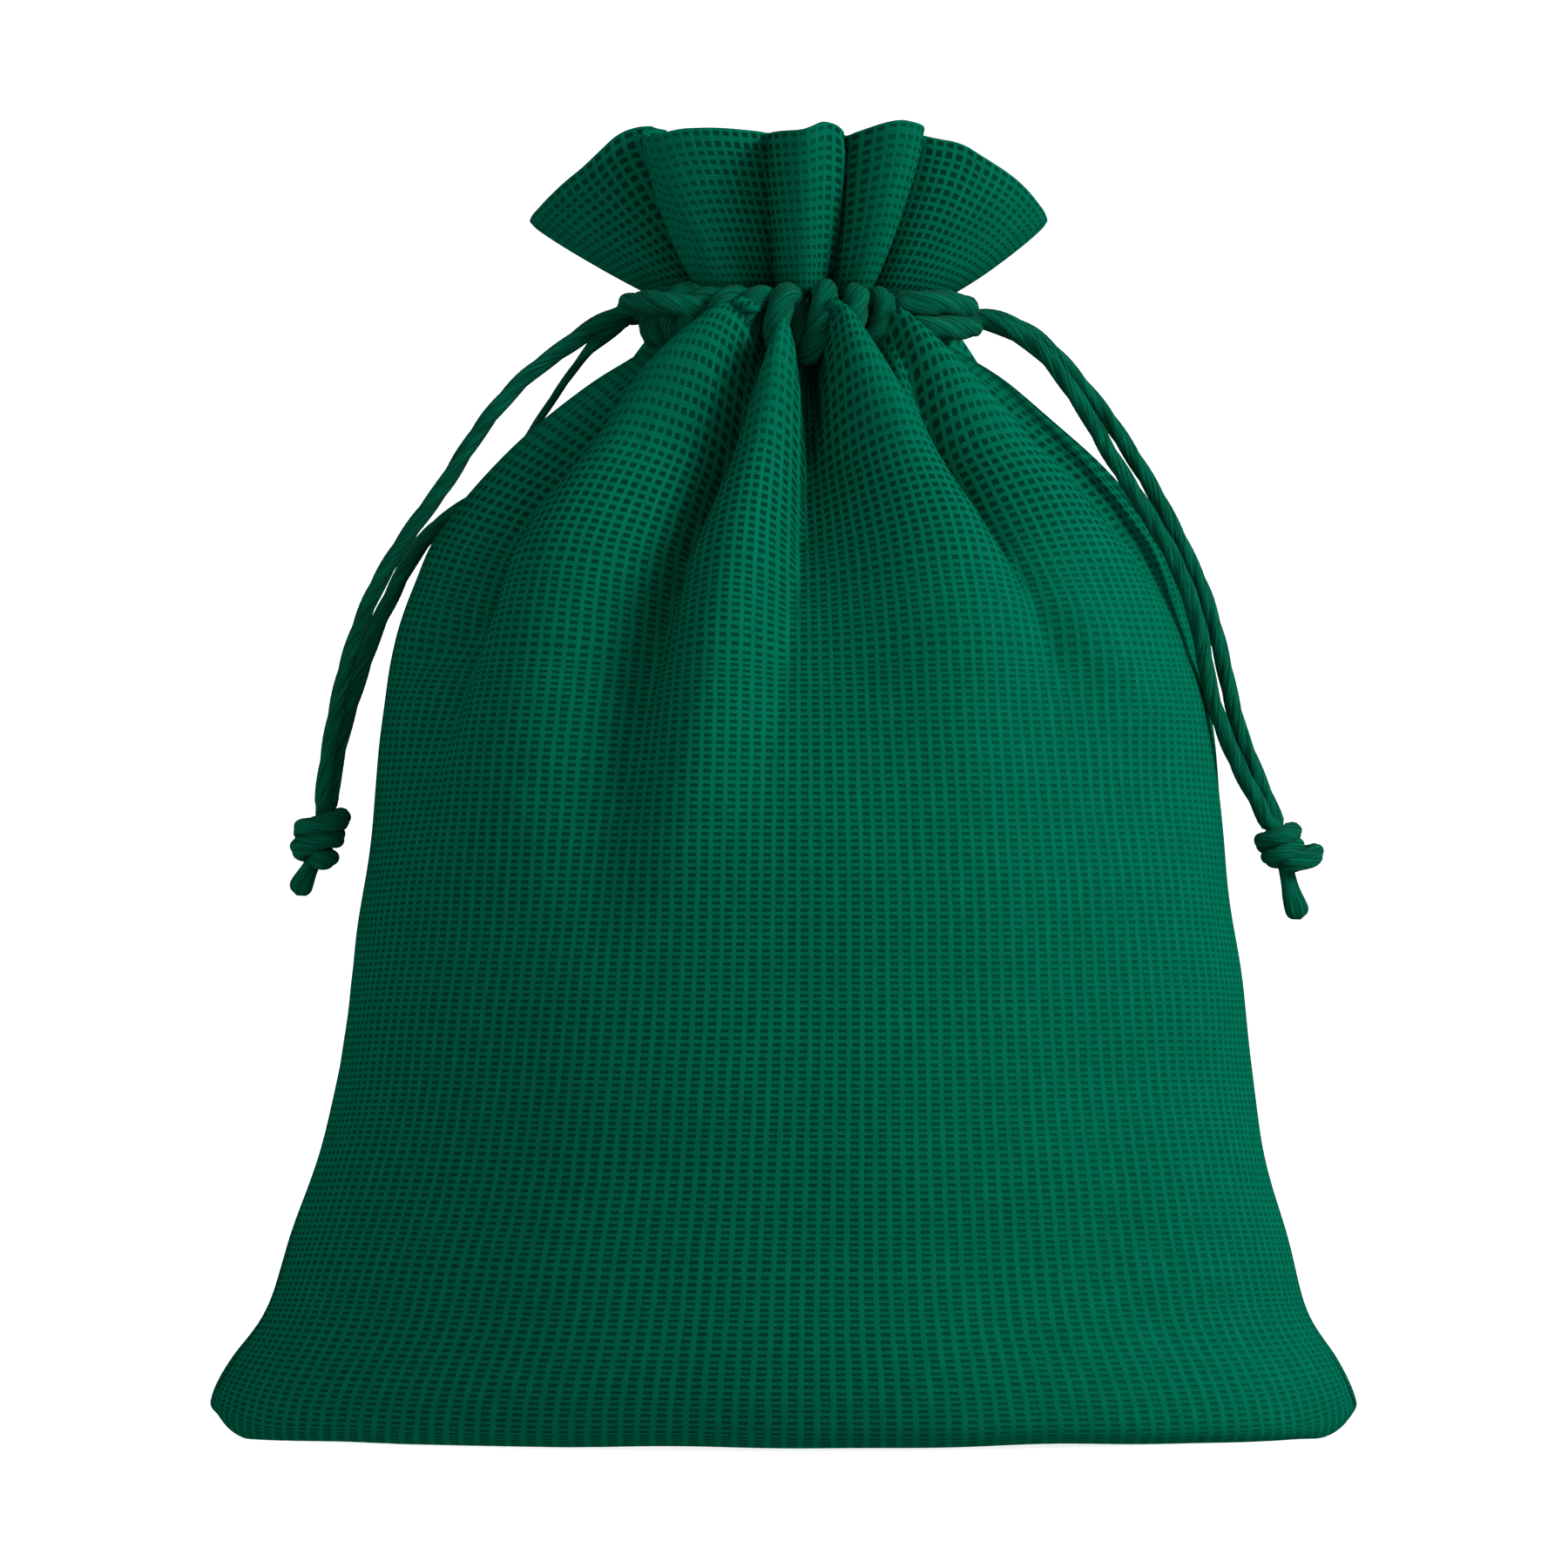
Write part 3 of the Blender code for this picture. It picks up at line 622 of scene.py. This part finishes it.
def hole_looks(place, length, points, crest):
    """How open the weave's holes are, as a share of a row, and how dark their painted shade is.

    They open where the cloth is pulled, at the bottom corners and near the neck, and close on crests.
    Their painted shade is lighter towards the right, where the key light falls, darker on the shoulders and
    frill, which lie in shade, and lighter on the crests, which catch the light.
    """
    x, height = points[:, 0], points[:, 2]
    corner = smooth(50, 24, height) * smooth(0.72, 0.9, np.abs(place)) * (length < NECK_LENGTH)
    share = mix(0.46, 0.57, np.maximum(corner, smooth(140, 168, height)))
    share = share * (1 - 0.35 * crest**3 * smooth(150, 170, height))
    # Painted shade in the holes: lighter towards the right where the key light falls, darker higher up on
    # the shoulders and frill, lighter on the crests
    hole_shade_on_body = 0.66 - 0.26 * smooth(-10, 60, x)
    painted_hole_shade = mix(hole_shade_on_body, 0.80, smooth(140, 172, height)) - 0.42 * crest**4 * smooth(135, 165, height)
    return share, painted_hole_shade


def cloth_grid(side, across, rows, low, high, inside=0.0):
    """A bmesh grid laid on the cloth, from low to high along it, with its weave map and its holes' looks."""
    bm = bmesh.new()
    weave = bm.loops.layers.uv.new("weave")
    openness = bm.verts.layers.float.new("open")
    # How strong the painted shade in each hole is
    painted_hole_shade = bm.verts.layers.float.new("dark")
    bmesh.ops.create_grid(bm, x_segments=across, y_segments=rows, size=0.5)
    verts = list(bm.verts)
    spread = np.array([tuple(v.co)[:2] for v in verts]) + 0.5
    place = 2 * spread[:, 0] - 1
    whole = np.interp(spread[:, 1], *zip(*ROW_SPREAD)) if low == 0 else spread[:, 1]
    length = mix(low, high, whole)
    points, crest = cloth_points(side, place, length, inside)
    over_neck = smooth(NECK_LENGTH - 6, NECK_LENGTH + 4, length)
    columns = mix(COLUMNS_BODY, COLUMNS_FRILL, over_neck) / 2
    # More columns to a step of place in the middle, where a step covers more cloth than at the seams
    u = columns * (place + 0.075 * np.sin(math.pi * place))
    v = np.interp(length, *weave_rows())
    for vert, point, share, dark in zip(verts, points, *hole_looks(place, length, points, crest)):
        vert.co = (point[0] * MM, point[1] * MM * side["facing"], point[2] * MM)
        vert[openness] = share
        vert[painted_hole_shade] = dark
    lay_map(bm, weave, lambda vert: (u[vert.index], v[vert.index]))
    bm.normal_update()
    # The face nearest the middle of the sack shows which way the grid faces
    middle = min(bm.faces, key=lambda f: abs(f.calc_center_median().x) + abs(f.calc_center_median().z - 0.1))
    if middle.normal.y * side["facing"] > 0:
        bmesh.ops.reverse_faces(bm, faces=list(bm.faces))
    return bm


def thicken(made, thickness):
    """Gives a sheet its thickness, inwards from the face it has."""
    solid = made.modifiers.new("thickness", "SOLIDIFY")
    solid.thickness = thickness * MM
    solid.offset = -1
    solid.use_even_offset = False


class SACK_OT_cloth(bpy.types.Operator):
    """The front and back sheets of cloth, each with the folded hem inside its rim"""

    bl_idname = "gift_sack.cloth"
    bl_label = "Cloth"

    def execute(self, context):
        settings = context.scene.gift_sack_cloth
        cotton = finish_of(coarse_woven_cotton, settings)
        for name, side in SIDES.items():
            low, high = CLOTH_LENGTH - HEM_DEPTH, CLOTH_LENGTH - HEM_BELOW_RIM
            inside = settings.thickness / MM + HEM_BEHIND_CLOTH
            grid = cloth_grid(side, HEM_FACES_ACROSS, HEM_FACES_ALONG, low, high, inside)
            hem = finished(f"{name}_folded_hem", grid, cotton, "sack")
            thicken(hem, HEM_THICKNESS)
            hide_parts(f"{name}_hem")
            grid = cloth_grid(side, settings.across, settings.rows, 0.0, CLOTH_LENGTH)
            sheet = finished(f"{name}_cloth", grid, cotton, "sack")
            thicken(sheet, settings.thickness / MM)
            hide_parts(f"{name}_panel", f"{name}_casing", f"{name}_frill")
        return {"FINISHED"}


# ---- Cords ----


def frames_along(points):
    """Two directions across a path at each point, turned as little as possible from one to the next."""
    ahead = unit(np.gradient(points, axis=0))
    first = np.cross(ahead[0], (0.0, 1.0, 0.0) if abs(ahead[0][1]) < 0.9 else (1.0, 0.0, 0.0))
    sides = [first / np.linalg.norm(first)]
    for direction in ahead[1:]:
        side = sides[-1] - direction * (sides[-1] @ direction)
        sides.append(side / np.linalg.norm(side))
    sides = np.array(sides)
    return sides, np.cross(ahead, sides)


def rope_mesh(points, radius, strands=3, twist=24.0, around=24, phase=0.0, rounded=True):
    """A bmesh of a rope along even points in mm: strands laid round each other, with rounded ends.

    radius is one number, or one for each point. twist is the length of one turn of the strands.
    """
    sides, ups = frames_along(points)
    lengths = lengths_along(points)
    full = np.broadcast_to(np.asarray(radius, float), (len(points),))
    radii = full.copy()
    if rounded:
        for from_end in (lengths, lengths[-1] - lengths):
            radii *= np.sqrt(1 - (1 - np.clip(from_end / full, 0, 1)) ** 2)
    bm = bmesh.new()
    fibre = bm.loops.layers.uv.new("fibre")
    bmesh.ops.create_grid(bm, x_segments=around, y_segments=len(points) - 1, size=0.5)
    verts = list(bm.verts)
    spread = np.array([tuple(v.co)[:2] for v in verts]) + 0.5
    ring = np.rint(spread[:, 1] * (len(points) - 1)).astype(int)
    angle = 2 * math.pi * spread[:, 0]
    # Each strand's outline is a circle whose middle stands out by STRAND_OUT and whose far side is at 1
    local = (angle % (2 * math.pi / strands)) - math.pi / strands
    outline = STRAND_OUT * np.cos(local) + np.sqrt((1 - STRAND_OUT) ** 2 - (STRAND_OUT * np.sin(local)) ** 2)
    turned = angle + 2 * math.pi * lengths[ring] / twist + phase
    places = (
        points[ring]
        + sides[ring] * (np.cos(turned) * outline * radii[ring])[:, None]
        + ups[ring] * (np.sin(turned) * outline * radii[ring])[:, None]
    )
    round_cord = angle * np.median(radii)
    for vert, place in zip(verts, places):
        vert.co = place * MM
    lay_map(bm, fibre, lambda vert: (round_cord[vert.index], lengths[ring[vert.index]]))
    bmesh.ops.remove_doubles(bm, verts=list(bm.verts), dist=1e-6)
    bmesh.ops.holes_fill(bm, edges=[e for e in bm.edges if e.is_boundary], sides=0)
    turn_outwards(bm)
    return bm


def join_meshes(pieces):
    """One bmesh of several."""
    whole = bmesh.new()
    whole.loops.layers.uv.new("fibre")
    for bm in pieces:
        mesh = smooth_mesh("part", bm)
        whole.from_mesh(mesh)
        bpy.data.meshes.remove(mesh)
    return whole


def tail_radius(name, points):
    """Half thickness of a tail along its route: thick at its start, the left rear one thin after that."""
    along = np.linspace(0, 1, len(points))
    radius = TAIL_DIAMETER / 2 * mix(1.18, 1.0, smooth(0.02, 0.2, along))
    if name == "left_tail_rear":
        radius *= mix(1.0, 0.5, smooth(158, 168, points[:, 2]) * smooth(0.03, 0.12, along))
    return radius


def neck_path():
    """The cords' path round the neck: a coil that winds on itself as it goes round, drawn tight by hand.

    turn goes once round the neck, and winding once round the coil for each wrap. Slow waves make it uneven.
    """
    turn = np.linspace(0, 2 * math.pi, WRAP_COUNT * WRAP_POINTS_PER_TURN + 1)
    uneven = 0.34 * np.sin(3 * turn + 0.4) + 0.24 * np.sin(7 * turn + 1.9) + 0.1 * np.sin(11 * turn)
    winding = WRAP_COUNT * turn + 1.6 * uneven
    level = np.zeros_like(turn)
    x, y = np.cos(turn), np.sin(turn)
    out = unit(np.stack([x / NECK_RING_HALF_WIDTH, y / NECK_RING_HALF_DEPTH, level], axis=1))
    round_neck = np.stack([-out[:, 1], out[:, 0], level], axis=1)
    up = np.array([0, 0, 1])
    ring = [NECK_RING_X + NECK_RING_HALF_WIDTH * x, NECK_RING_HALF_DEPTH * y, level + NECK_RING_HEIGHT]
    centre = np.stack(ring, axis=1)
    rises = 0.5 * np.sin(2 * turn + 0.8) + 0.4 * np.sin(5 * turn + 2.2) + 0.25 * np.sin(0.41 * winding)
    centre += up * rises[:, None]
    # One loop hangs lower at the middle of the front, and the coil is thinner at the sides
    hanging = np.exp(-(((turn - 1.5 * math.pi) / 0.11) ** 2))
    centre -= up * (1.5 * hanging)[:, None]
    at_side = np.abs(x) ** 6
    tall = 3.6 + 0.4 * np.sin(4 * turn + 1.1) + 0.3 * np.sin(0.62 * winding) - 1.1 * at_side + 1.4 * hanging
    wide = 2.5 + 0.35 * np.sin(0.55 * winding + 1.0) - 1.6 * at_side
    slant = 0.5 * np.sin(0.36 * winding) - 1.5 * np.sin(2 * turn)
    aslant = slant * np.cos(winding) + 0.4 * np.sin(0.29 * winding + 2) * np.sin(winding)
    coil = out * (wide * np.cos(winding))[:, None] + up * (tall * np.sin(winding))[:, None]
    return centre + coil + round_neck * aslant[:, None]


# The strands that lead from the coil to where the tails leave it: both in front at the right, and one in
# front and one behind at the left
LEADS = {
    "left_upper": [
        (-12.0, -13.0, 196.0), (-16.5, -14.6, 196.6), (-21.0, -13.8, 197.4), (-25.4, -9.8, 197.6),
        (-28.2, -6.2, 197.0),
    ],
    "left_lower": [
        (-12.0, 13.0, 195.8), (-16.5, 14.6, 196.2), (-21.0, 13.8, 196.8), (-25.4, 9.8, 196.9),
        (-28.2, 6.2, 196.5),
    ],
    "right_upper": [(19.0, -15.6, 196.6), (24.8, -16.0, 197.2), (29.8, -11.6, 197.2), (33.2, -7.6, 196.4)],
    "right_lower": [(19.0, -15.6, 193.0), (24.8, -16.2, 193.0), (30.2, -11.8, 193.2), (33.8, -7.6, 193.8)],
}
# Each knot: where the tails enter it, its rope's half thickness, its rope and its cut ends.
# Their points are measured to the right, towards the back and up from where the tails enter.
KNOTS = {
    "left": {
        "entry": (-80.2, 0.0, 109.6), "radius": 1.95,
        "rope": [
            (1.0, 1.5, -0.6), (2.8, 0.5, -1.6), (0.5, -2.6, -2.4), (-3.2, -1.2, -3.2), (-3.6, 0.6, -3.7),
            (-1.2, 2.3, -4.0), (1.9, 0.8, -4.7), (-0.5, -2.5, -5.3), (-4.2, -0.9, -6.6), (-2.6, 1.8, -7.5),
            (0.5, 0.8, -8.2), (-0.2, -1.7, -8.6), (-2.6, -0.9, -8.2),
        ],
        "ends": [(-0.6, 0.0, -6.5), (-2.2, 0.0, -9.5), (-3.6, 0.0, -12.2), (-4.9, 0.0, -15.0)],
    },
    "right": {
        "entry": (85.6, 0.0, 106.4), "radius": 1.85,
        "rope": [
            (1.5, 1.4, 0.0), (3.2, 0.0, -0.8), (1.0, -2.5, -1.5), (-1.8, -0.8, -2.3), (-0.5, 2.2, -2.9),
            (3.0, 1.6, -3.1), (3.5, -0.6, -3.5), (1.2, -2.6, -4.3), (-0.6, -0.6, -5.0), (1.5, 2.0, -5.3),
            (4.5, 1.6, -4.9), (6.9, 0.5, -4.3), (6.3, -1.4, -5.1), (3.2, -2.3, -6.1), (1.2, -0.8, -6.3),
        ],
        "ends": [(1.6, 0.0, -5.0), (2.4, 0.0, -8.6), (3.2, 0.0, -12.0), (4.6, 0.0, -16.0)],
    },
}


class SACK_OT_tails(bpy.types.Operator):
    """The four tails of the drawcords, the stretches of them inside the neck, and their two knots"""

    bl_idname = "gift_sack.tails"
    bl_label = "Cord tails and knots"

    def execute(self, context):
        cord = finish_of(twisted_cotton_cord, context.scene.gift_sack_cords)
        for side, exit_point in (("left", LEFT_EXIT), ("right", RIGHT_EXIT)):
            entry = np.array(KNOTS[side]["entry"])
            knot = finished(f"{side}_tied_knot", self.tied_knot(side), cord, f"{side}_tails")
            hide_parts(f"{side}_knot")
            for depth, apart, phase in (("front", -1.0, 0.2), ("rear", 1.0, 1.3)):
                name = f"{side}_tail_{depth}"
                into_knot = [entry + np.array(step) * (apart, apart, 1.0) for step in INTO_KNOT]
                route = even_points([*TAILS[name], *into_knot], 1.0)
                rope = rope_mesh(route, tail_radius(name, route), phase=phase)
                tail = finished(f"{side}_cord_{depth}", rope, cord, f"{side}_tails")
                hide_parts(name)
                inwards = 1 if side == "left" else -1
                reaches = [(inwards * d, TAIL_SPACING * apart, -RUNNER_FALL * d) for d in RUNNER_REACHES]
                rope = rope_mesh(even_points(np.add(exit_point, reaches), 1.0), TAIL_DIAMETER / 2)
                name = f"{side}_cord_inside_{depth}"
                runner = finished(name, rope, cord, f"{side}_runner")
                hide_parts(f"{side}_runner_{depth}")
        return {"FINISHED"}

    def tied_knot(self, side):
        """A bmesh of one knot: its rope, and its cut ends together, which flare towards the cut."""
        tied = KNOTS[side]
        rope, ends = (even_points(np.add(tied["entry"], tied[part]), 0.6) for part in ("rope", "ends"))
        flare = mix(1.5, 2.2, smooth(0.3, 0.95, np.linspace(0, 1, len(ends))))
        ends = rope_mesh(ends, flare, strands=2, twist=60, phase=0.5)
        return join_meshes([rope_mesh(rope, tied["radius"], twist=20), ends])


class SACK_OT_neck(bpy.types.Operator):
    """The two drawcords where they wind round the drawn neck"""

    bl_idname = "gift_sack.neck"
    bl_label = "Cords round the neck"

    def execute(self, context):
        cord = finish_of(twisted_cotton_cord, context.scene.gift_sack_cords)
        path = neck_path()
        half = len(path) // 2
        # The back half and the front half of the coil, each on one of the two CAD loops
        for name, part, node in (
            ("neck_cord_rear", path[: half + 3], "left_cord_loop"),
            ("neck_cord_front", path[half - 3 :], "right_cord_loop"),
        ):
            rope = rope_mesh(part, WRAP_DIAMETER / 2, twist=17, around=18, rounded=False)
            wound = finished(name, rope, cord, "sack")
            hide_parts(node)
        for name, route in LEADS.items():
            lead = rope_mesh(even_points(route, 0.8), LEAD_DIAMETER / 2, twist=20)
            finished(f"{name}_lead", lead, cord, "sack")
        return {"FINISHED"}


class SACK_OT_seams(bpy.types.Operator):
    """The overlocked seam allowances inside the sides and the bottom"""

    bl_idname = "gift_sack.seams"
    bl_label = "Seam allowances"

    def execute(self, context):
        edge = finish_of(overlocked_edge, context.scene.gift_sack_cloth)
        lengths = np.linspace(SEAM_START, CLOTH_LENGTH - SEAM_SHORT_OF_RIM, SEAM_POINTS)
        for name, place in (("left", -1.0), ("right", 1.0)):
            line = filled_surface(SIDES["front"], np.full(len(lengths), place), lengths)
            # Square to the seam's line and into the sack
            inwards = unit(np.gradient(line, axis=0)[:, [2, 1, 0]]) * np.array([-place, 0, place])
            strip = self.strip(line + inwards * SEAM_INSET, inwards * SEAM_ALLOWANCE)
            strip = finished(f"{name}_seam_allowance", strip, edge, "sack")
            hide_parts(f"{name}_side_seam")
        across = np.linspace(-BOTTOM_SEAM_REACH, BOTTOM_SEAM_REACH, SEAM_POINTS)
        line = filled_surface(SIDES["front"], across, np.zeros(len(across)))
        strip = self.strip(line + (0, 0, SEAM_INSET), np.tile((0.0, 0.0, SEAM_ALLOWANCE), (len(line), 1)))
        strip = finished("bottom_seam_allowance", strip, edge, "sack")
        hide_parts("bottom_seam")
        return {"FINISHED"}

    def strip(self, line, width):
        """A flat bound strip from a line in mm, as wide as width at each of the line's points."""
        bm = bmesh.new()
        fibre = bm.loops.layers.uv.new("fibre")
        bmesh.ops.create_grid(bm, x_segments=len(line) - 1, y_segments=3, size=0.5)
        near = list(bm.verts)
        made = bmesh.ops.extrude_face_region(bm, geom=list(bm.faces), use_keep_orig=True)
        far = [item for item in made["geom"] if isinstance(item, bmesh.types.BMVert)]
        lengths = lengths_along(line)
        places = {}
        for verts, depth in ((near, -SEAM_THICKNESS / 2), (far, SEAM_THICKNESS / 2)):
            for vert in verts:
                k = round((vert.co.x + 0.5) * (len(line) - 1))
                share = vert.co.y + 0.5
                point = line[k] + width[k] * share
                places[vert] = (lengths[k], SEAM_ALLOWANCE * share)
                vert.co = (point[0] * MM, depth * MM, point[2] * MM)
        lay_map(bm, fibre, places.get)
        turn_outwards(bm)
        return bm


# ---- Stage ----

# The studio, in metres: the lights' places and sizes, where they point, and the sweep of paper
LIGHTS = {"key": ((1.0, -0.55, 0.75), 0.5), "fill": ((-0.9, -0.9, 0.45), 0.9)}
LIGHT_TARGET = (0, 0, 0.12)
SENSOR_WIDTH_MM = 36
PAPER_HALF_WIDTH = 4.0
PAPER_LENGTH = 6.6
PAPER_FRONT = 2.6
PAPER_BACK = 2.6
PAPER_CURVE = 0.5


def area_light(name, place, size, power):
    """A round studio light that points at the sack."""
    data = bpy.data.lights.new(name, "AREA")
    data.shape = "DISK"
    data.size = size
    data.energy = power
    lamp = in_scene(name, data)
    lamp.location = place
    lamp.rotation_euler = (Vector(LIGHT_TARGET) - Vector(place)).to_track_quat("-Z", "Y").to_euler()


class SACK_OT_stage(bpy.types.Operator):
    """The camera, the pale floor and the studio light"""

    bl_idname = "gift_sack.stage"
    bl_label = "Stage"

    def execute(self, context):
        settings = context.scene.gift_sack_stage
        scene = context.scene
        scene.view_settings.view_transform = "Standard"
        camera = bpy.data.cameras.new("camera")
        camera.sensor_width = SENSOR_WIDTH_MM
        camera.lens = SENSOR_WIDTH_MM * settings.camera_distance / settings.frame_width
        camera.clip_start = 0.05
        viewer = in_scene("camera", camera)
        viewer.location = (0, -settings.camera_distance, settings.camera_height)
        viewer.rotation_euler = (math.pi / 2, 0, 0)
        scene.camera = viewer

        world = bpy.data.worlds.new("studio")
        world.use_nodes = True
        background = world.node_tree.nodes["Background"]
        background.inputs["Color"].default_value = (1, 1, 1, 1)
        background.inputs["Strength"].default_value = settings.surround
        scene.world = world

        floor = in_scene("floor", self.paper_sweep(settings))
        # The paper's own glow doesn't reach the sack
        floor.visible_diffuse = False

        for name, (place, size) in LIGHTS.items():
            area_light(name, place, size, getattr(settings, f"{name}_power"))
        return {"FINISHED"}

    def paper_sweep(self, settings):
        """A mesh of studio paper that lies flat under the sack and curves up behind it."""
        bm = bmesh.new()
        bmesh.ops.create_grid(bm, x_segments=2, y_segments=60, size=0.5)
        flat, curve = PAPER_BACK, PAPER_CURVE
        for vert in bm.verts:
            along = (vert.co.y + 0.5) * PAPER_LENGTH - PAPER_FRONT
            bend = min(max((along - flat + curve) / (curve * math.pi / 2), 0.0), 1.0) * math.pi / 2
            past = max(0.0, along - flat + curve - curve * math.pi / 2)
            depth = min(along, flat - curve) + curve * math.sin(bend)
            vert.co = (vert.co.x * 2 * PAPER_HALF_WIDTH, depth, curve * (1 - math.cos(bend)) + past)
        mesh = smooth_mesh("floor", bm)
        # White studio paper: matt, and lit evenly enough to be nearly the same white everywhere
        paper = bpy.data.materials.new("white_studio_paper")
        paper.use_nodes = True
        shader = paper.node_tree.nodes["Principled BSDF"]
        shader.inputs["Base Color"].default_value = (0.9, 0.9, 0.9, 1)
        shader.inputs["Roughness"].default_value = 0.9
        shader.inputs["Emission Color"].default_value = (1, 1, 1, 1)
        shader.inputs["Emission Strength"].default_value = settings.paper_glow
        mesh.materials.append(paper)
        return mesh


# ---- The add-on's settings, panel and registration ----


def colour(name, where, code):
    """A setting that holds a colour as an sRGB hex code."""
    return StringProperty(name=name, description=f"Colour {where}, as an sRGB hex code", default=code)


def faces(name, count, way):
    """A setting that holds the faces of the cloth's grid one way."""
    return IntProperty(name=name, description=f"Grid faces from {way}", default=count, min=20, max=400)


class SackCloth(bpy.types.PropertyGroup):
    """The cloth"""

    thickness: FloatProperty(name="Thickness", default=CLOTH_THICKNESS * MM, unit="LENGTH")
    across: faces("Across", 176, "seam to seam")
    rows: faces("Along", 250, "the bottom seam to the rim")
    rib_colour: colour("Ribs", "of the ribs", "#037357")
    weft_colour: colour("Wefts", "of the wefts between the ribs", "#036F53")
    # Painted shade: the colour painted into the weave's holes and between the edge's stitches
    hole_colour: colour("Holes", "in the holes", "#02281C")


class SackCords(bpy.types.PropertyGroup):
    """The cords"""

    cord_colour: colour("Cord", "of the cord's fibres", "#047A5C")
    shade_colour: colour("Shade", "between the cord's fibres", "#034B38")


class SackStage(bpy.types.PropertyGroup):
    """The stage"""

    camera_distance: FloatProperty(name="Camera distance", default=1.6, unit="LENGTH")
    camera_height: FloatProperty(name="Camera height", default=0.1141, unit="LENGTH")
    frame_width: FloatProperty(name="Width of the view at the sack", default=0.2738, unit="LENGTH")
    surround: FloatProperty(name="Surrounding light", default=0.37)
    paper_glow: FloatProperty(name="Light from the paper", default=0.85)
    key_power: FloatProperty(name="Key light, upper right", default=12.0, unit="POWER")
    fill_power: FloatProperty(name="Fill light, left", default=0.5, unit="POWER")


class SACK_PT_panel(bpy.types.Panel):
    """The steps that build the sack"""

    bl_idname = "SACK_PT_panel"
    bl_label = "Gift sack"
    bl_space_type = "VIEW_3D"
    bl_region_type = "UI"
    bl_category = "Gift sack"

    def draw(self, context):
        for settings, operators in STEPS:
            group = getattr(context.scene, settings)
            for name in group.bl_rna.properties.keys():
                if name not in ("rna_type", "name"):
                    self.layout.prop(group, name)
            for operator in operators:
                self.layout.operator(operator.bl_idname)


STEPS = [
    ("gift_sack_stage", [SACK_OT_stage]),
    ("gift_sack_cords", [SACK_OT_tails, SACK_OT_neck]),
    ("gift_sack_cloth", [SACK_OT_cloth, SACK_OT_seams]),
]
GROUPS = {"gift_sack_stage": SackStage, "gift_sack_cords": SackCords, "gift_sack_cloth": SackCloth}
OPERATORS = [operator for settings, operators in STEPS for operator in operators]


def register():
    for made in [*GROUPS.values(), *OPERATORS, SACK_PT_panel]:
        bpy.utils.register_class(made)
    for name, group in GROUPS.items():
        setattr(bpy.types.Scene, name, PointerProperty(type=group))


def unregister():
    for name in GROUPS:
        delattr(bpy.types.Scene, name)
    for made in reversed([*GROUPS.values(), *OPERATORS, SACK_PT_panel]):
        bpy.utils.unregister_class(made)


def main():
    register()
    for operator in OPERATORS:
        group, step = operator.bl_idname.split(".")
        getattr(getattr(bpy.ops, group), step)()


if __name__ == "__main__":
    main()
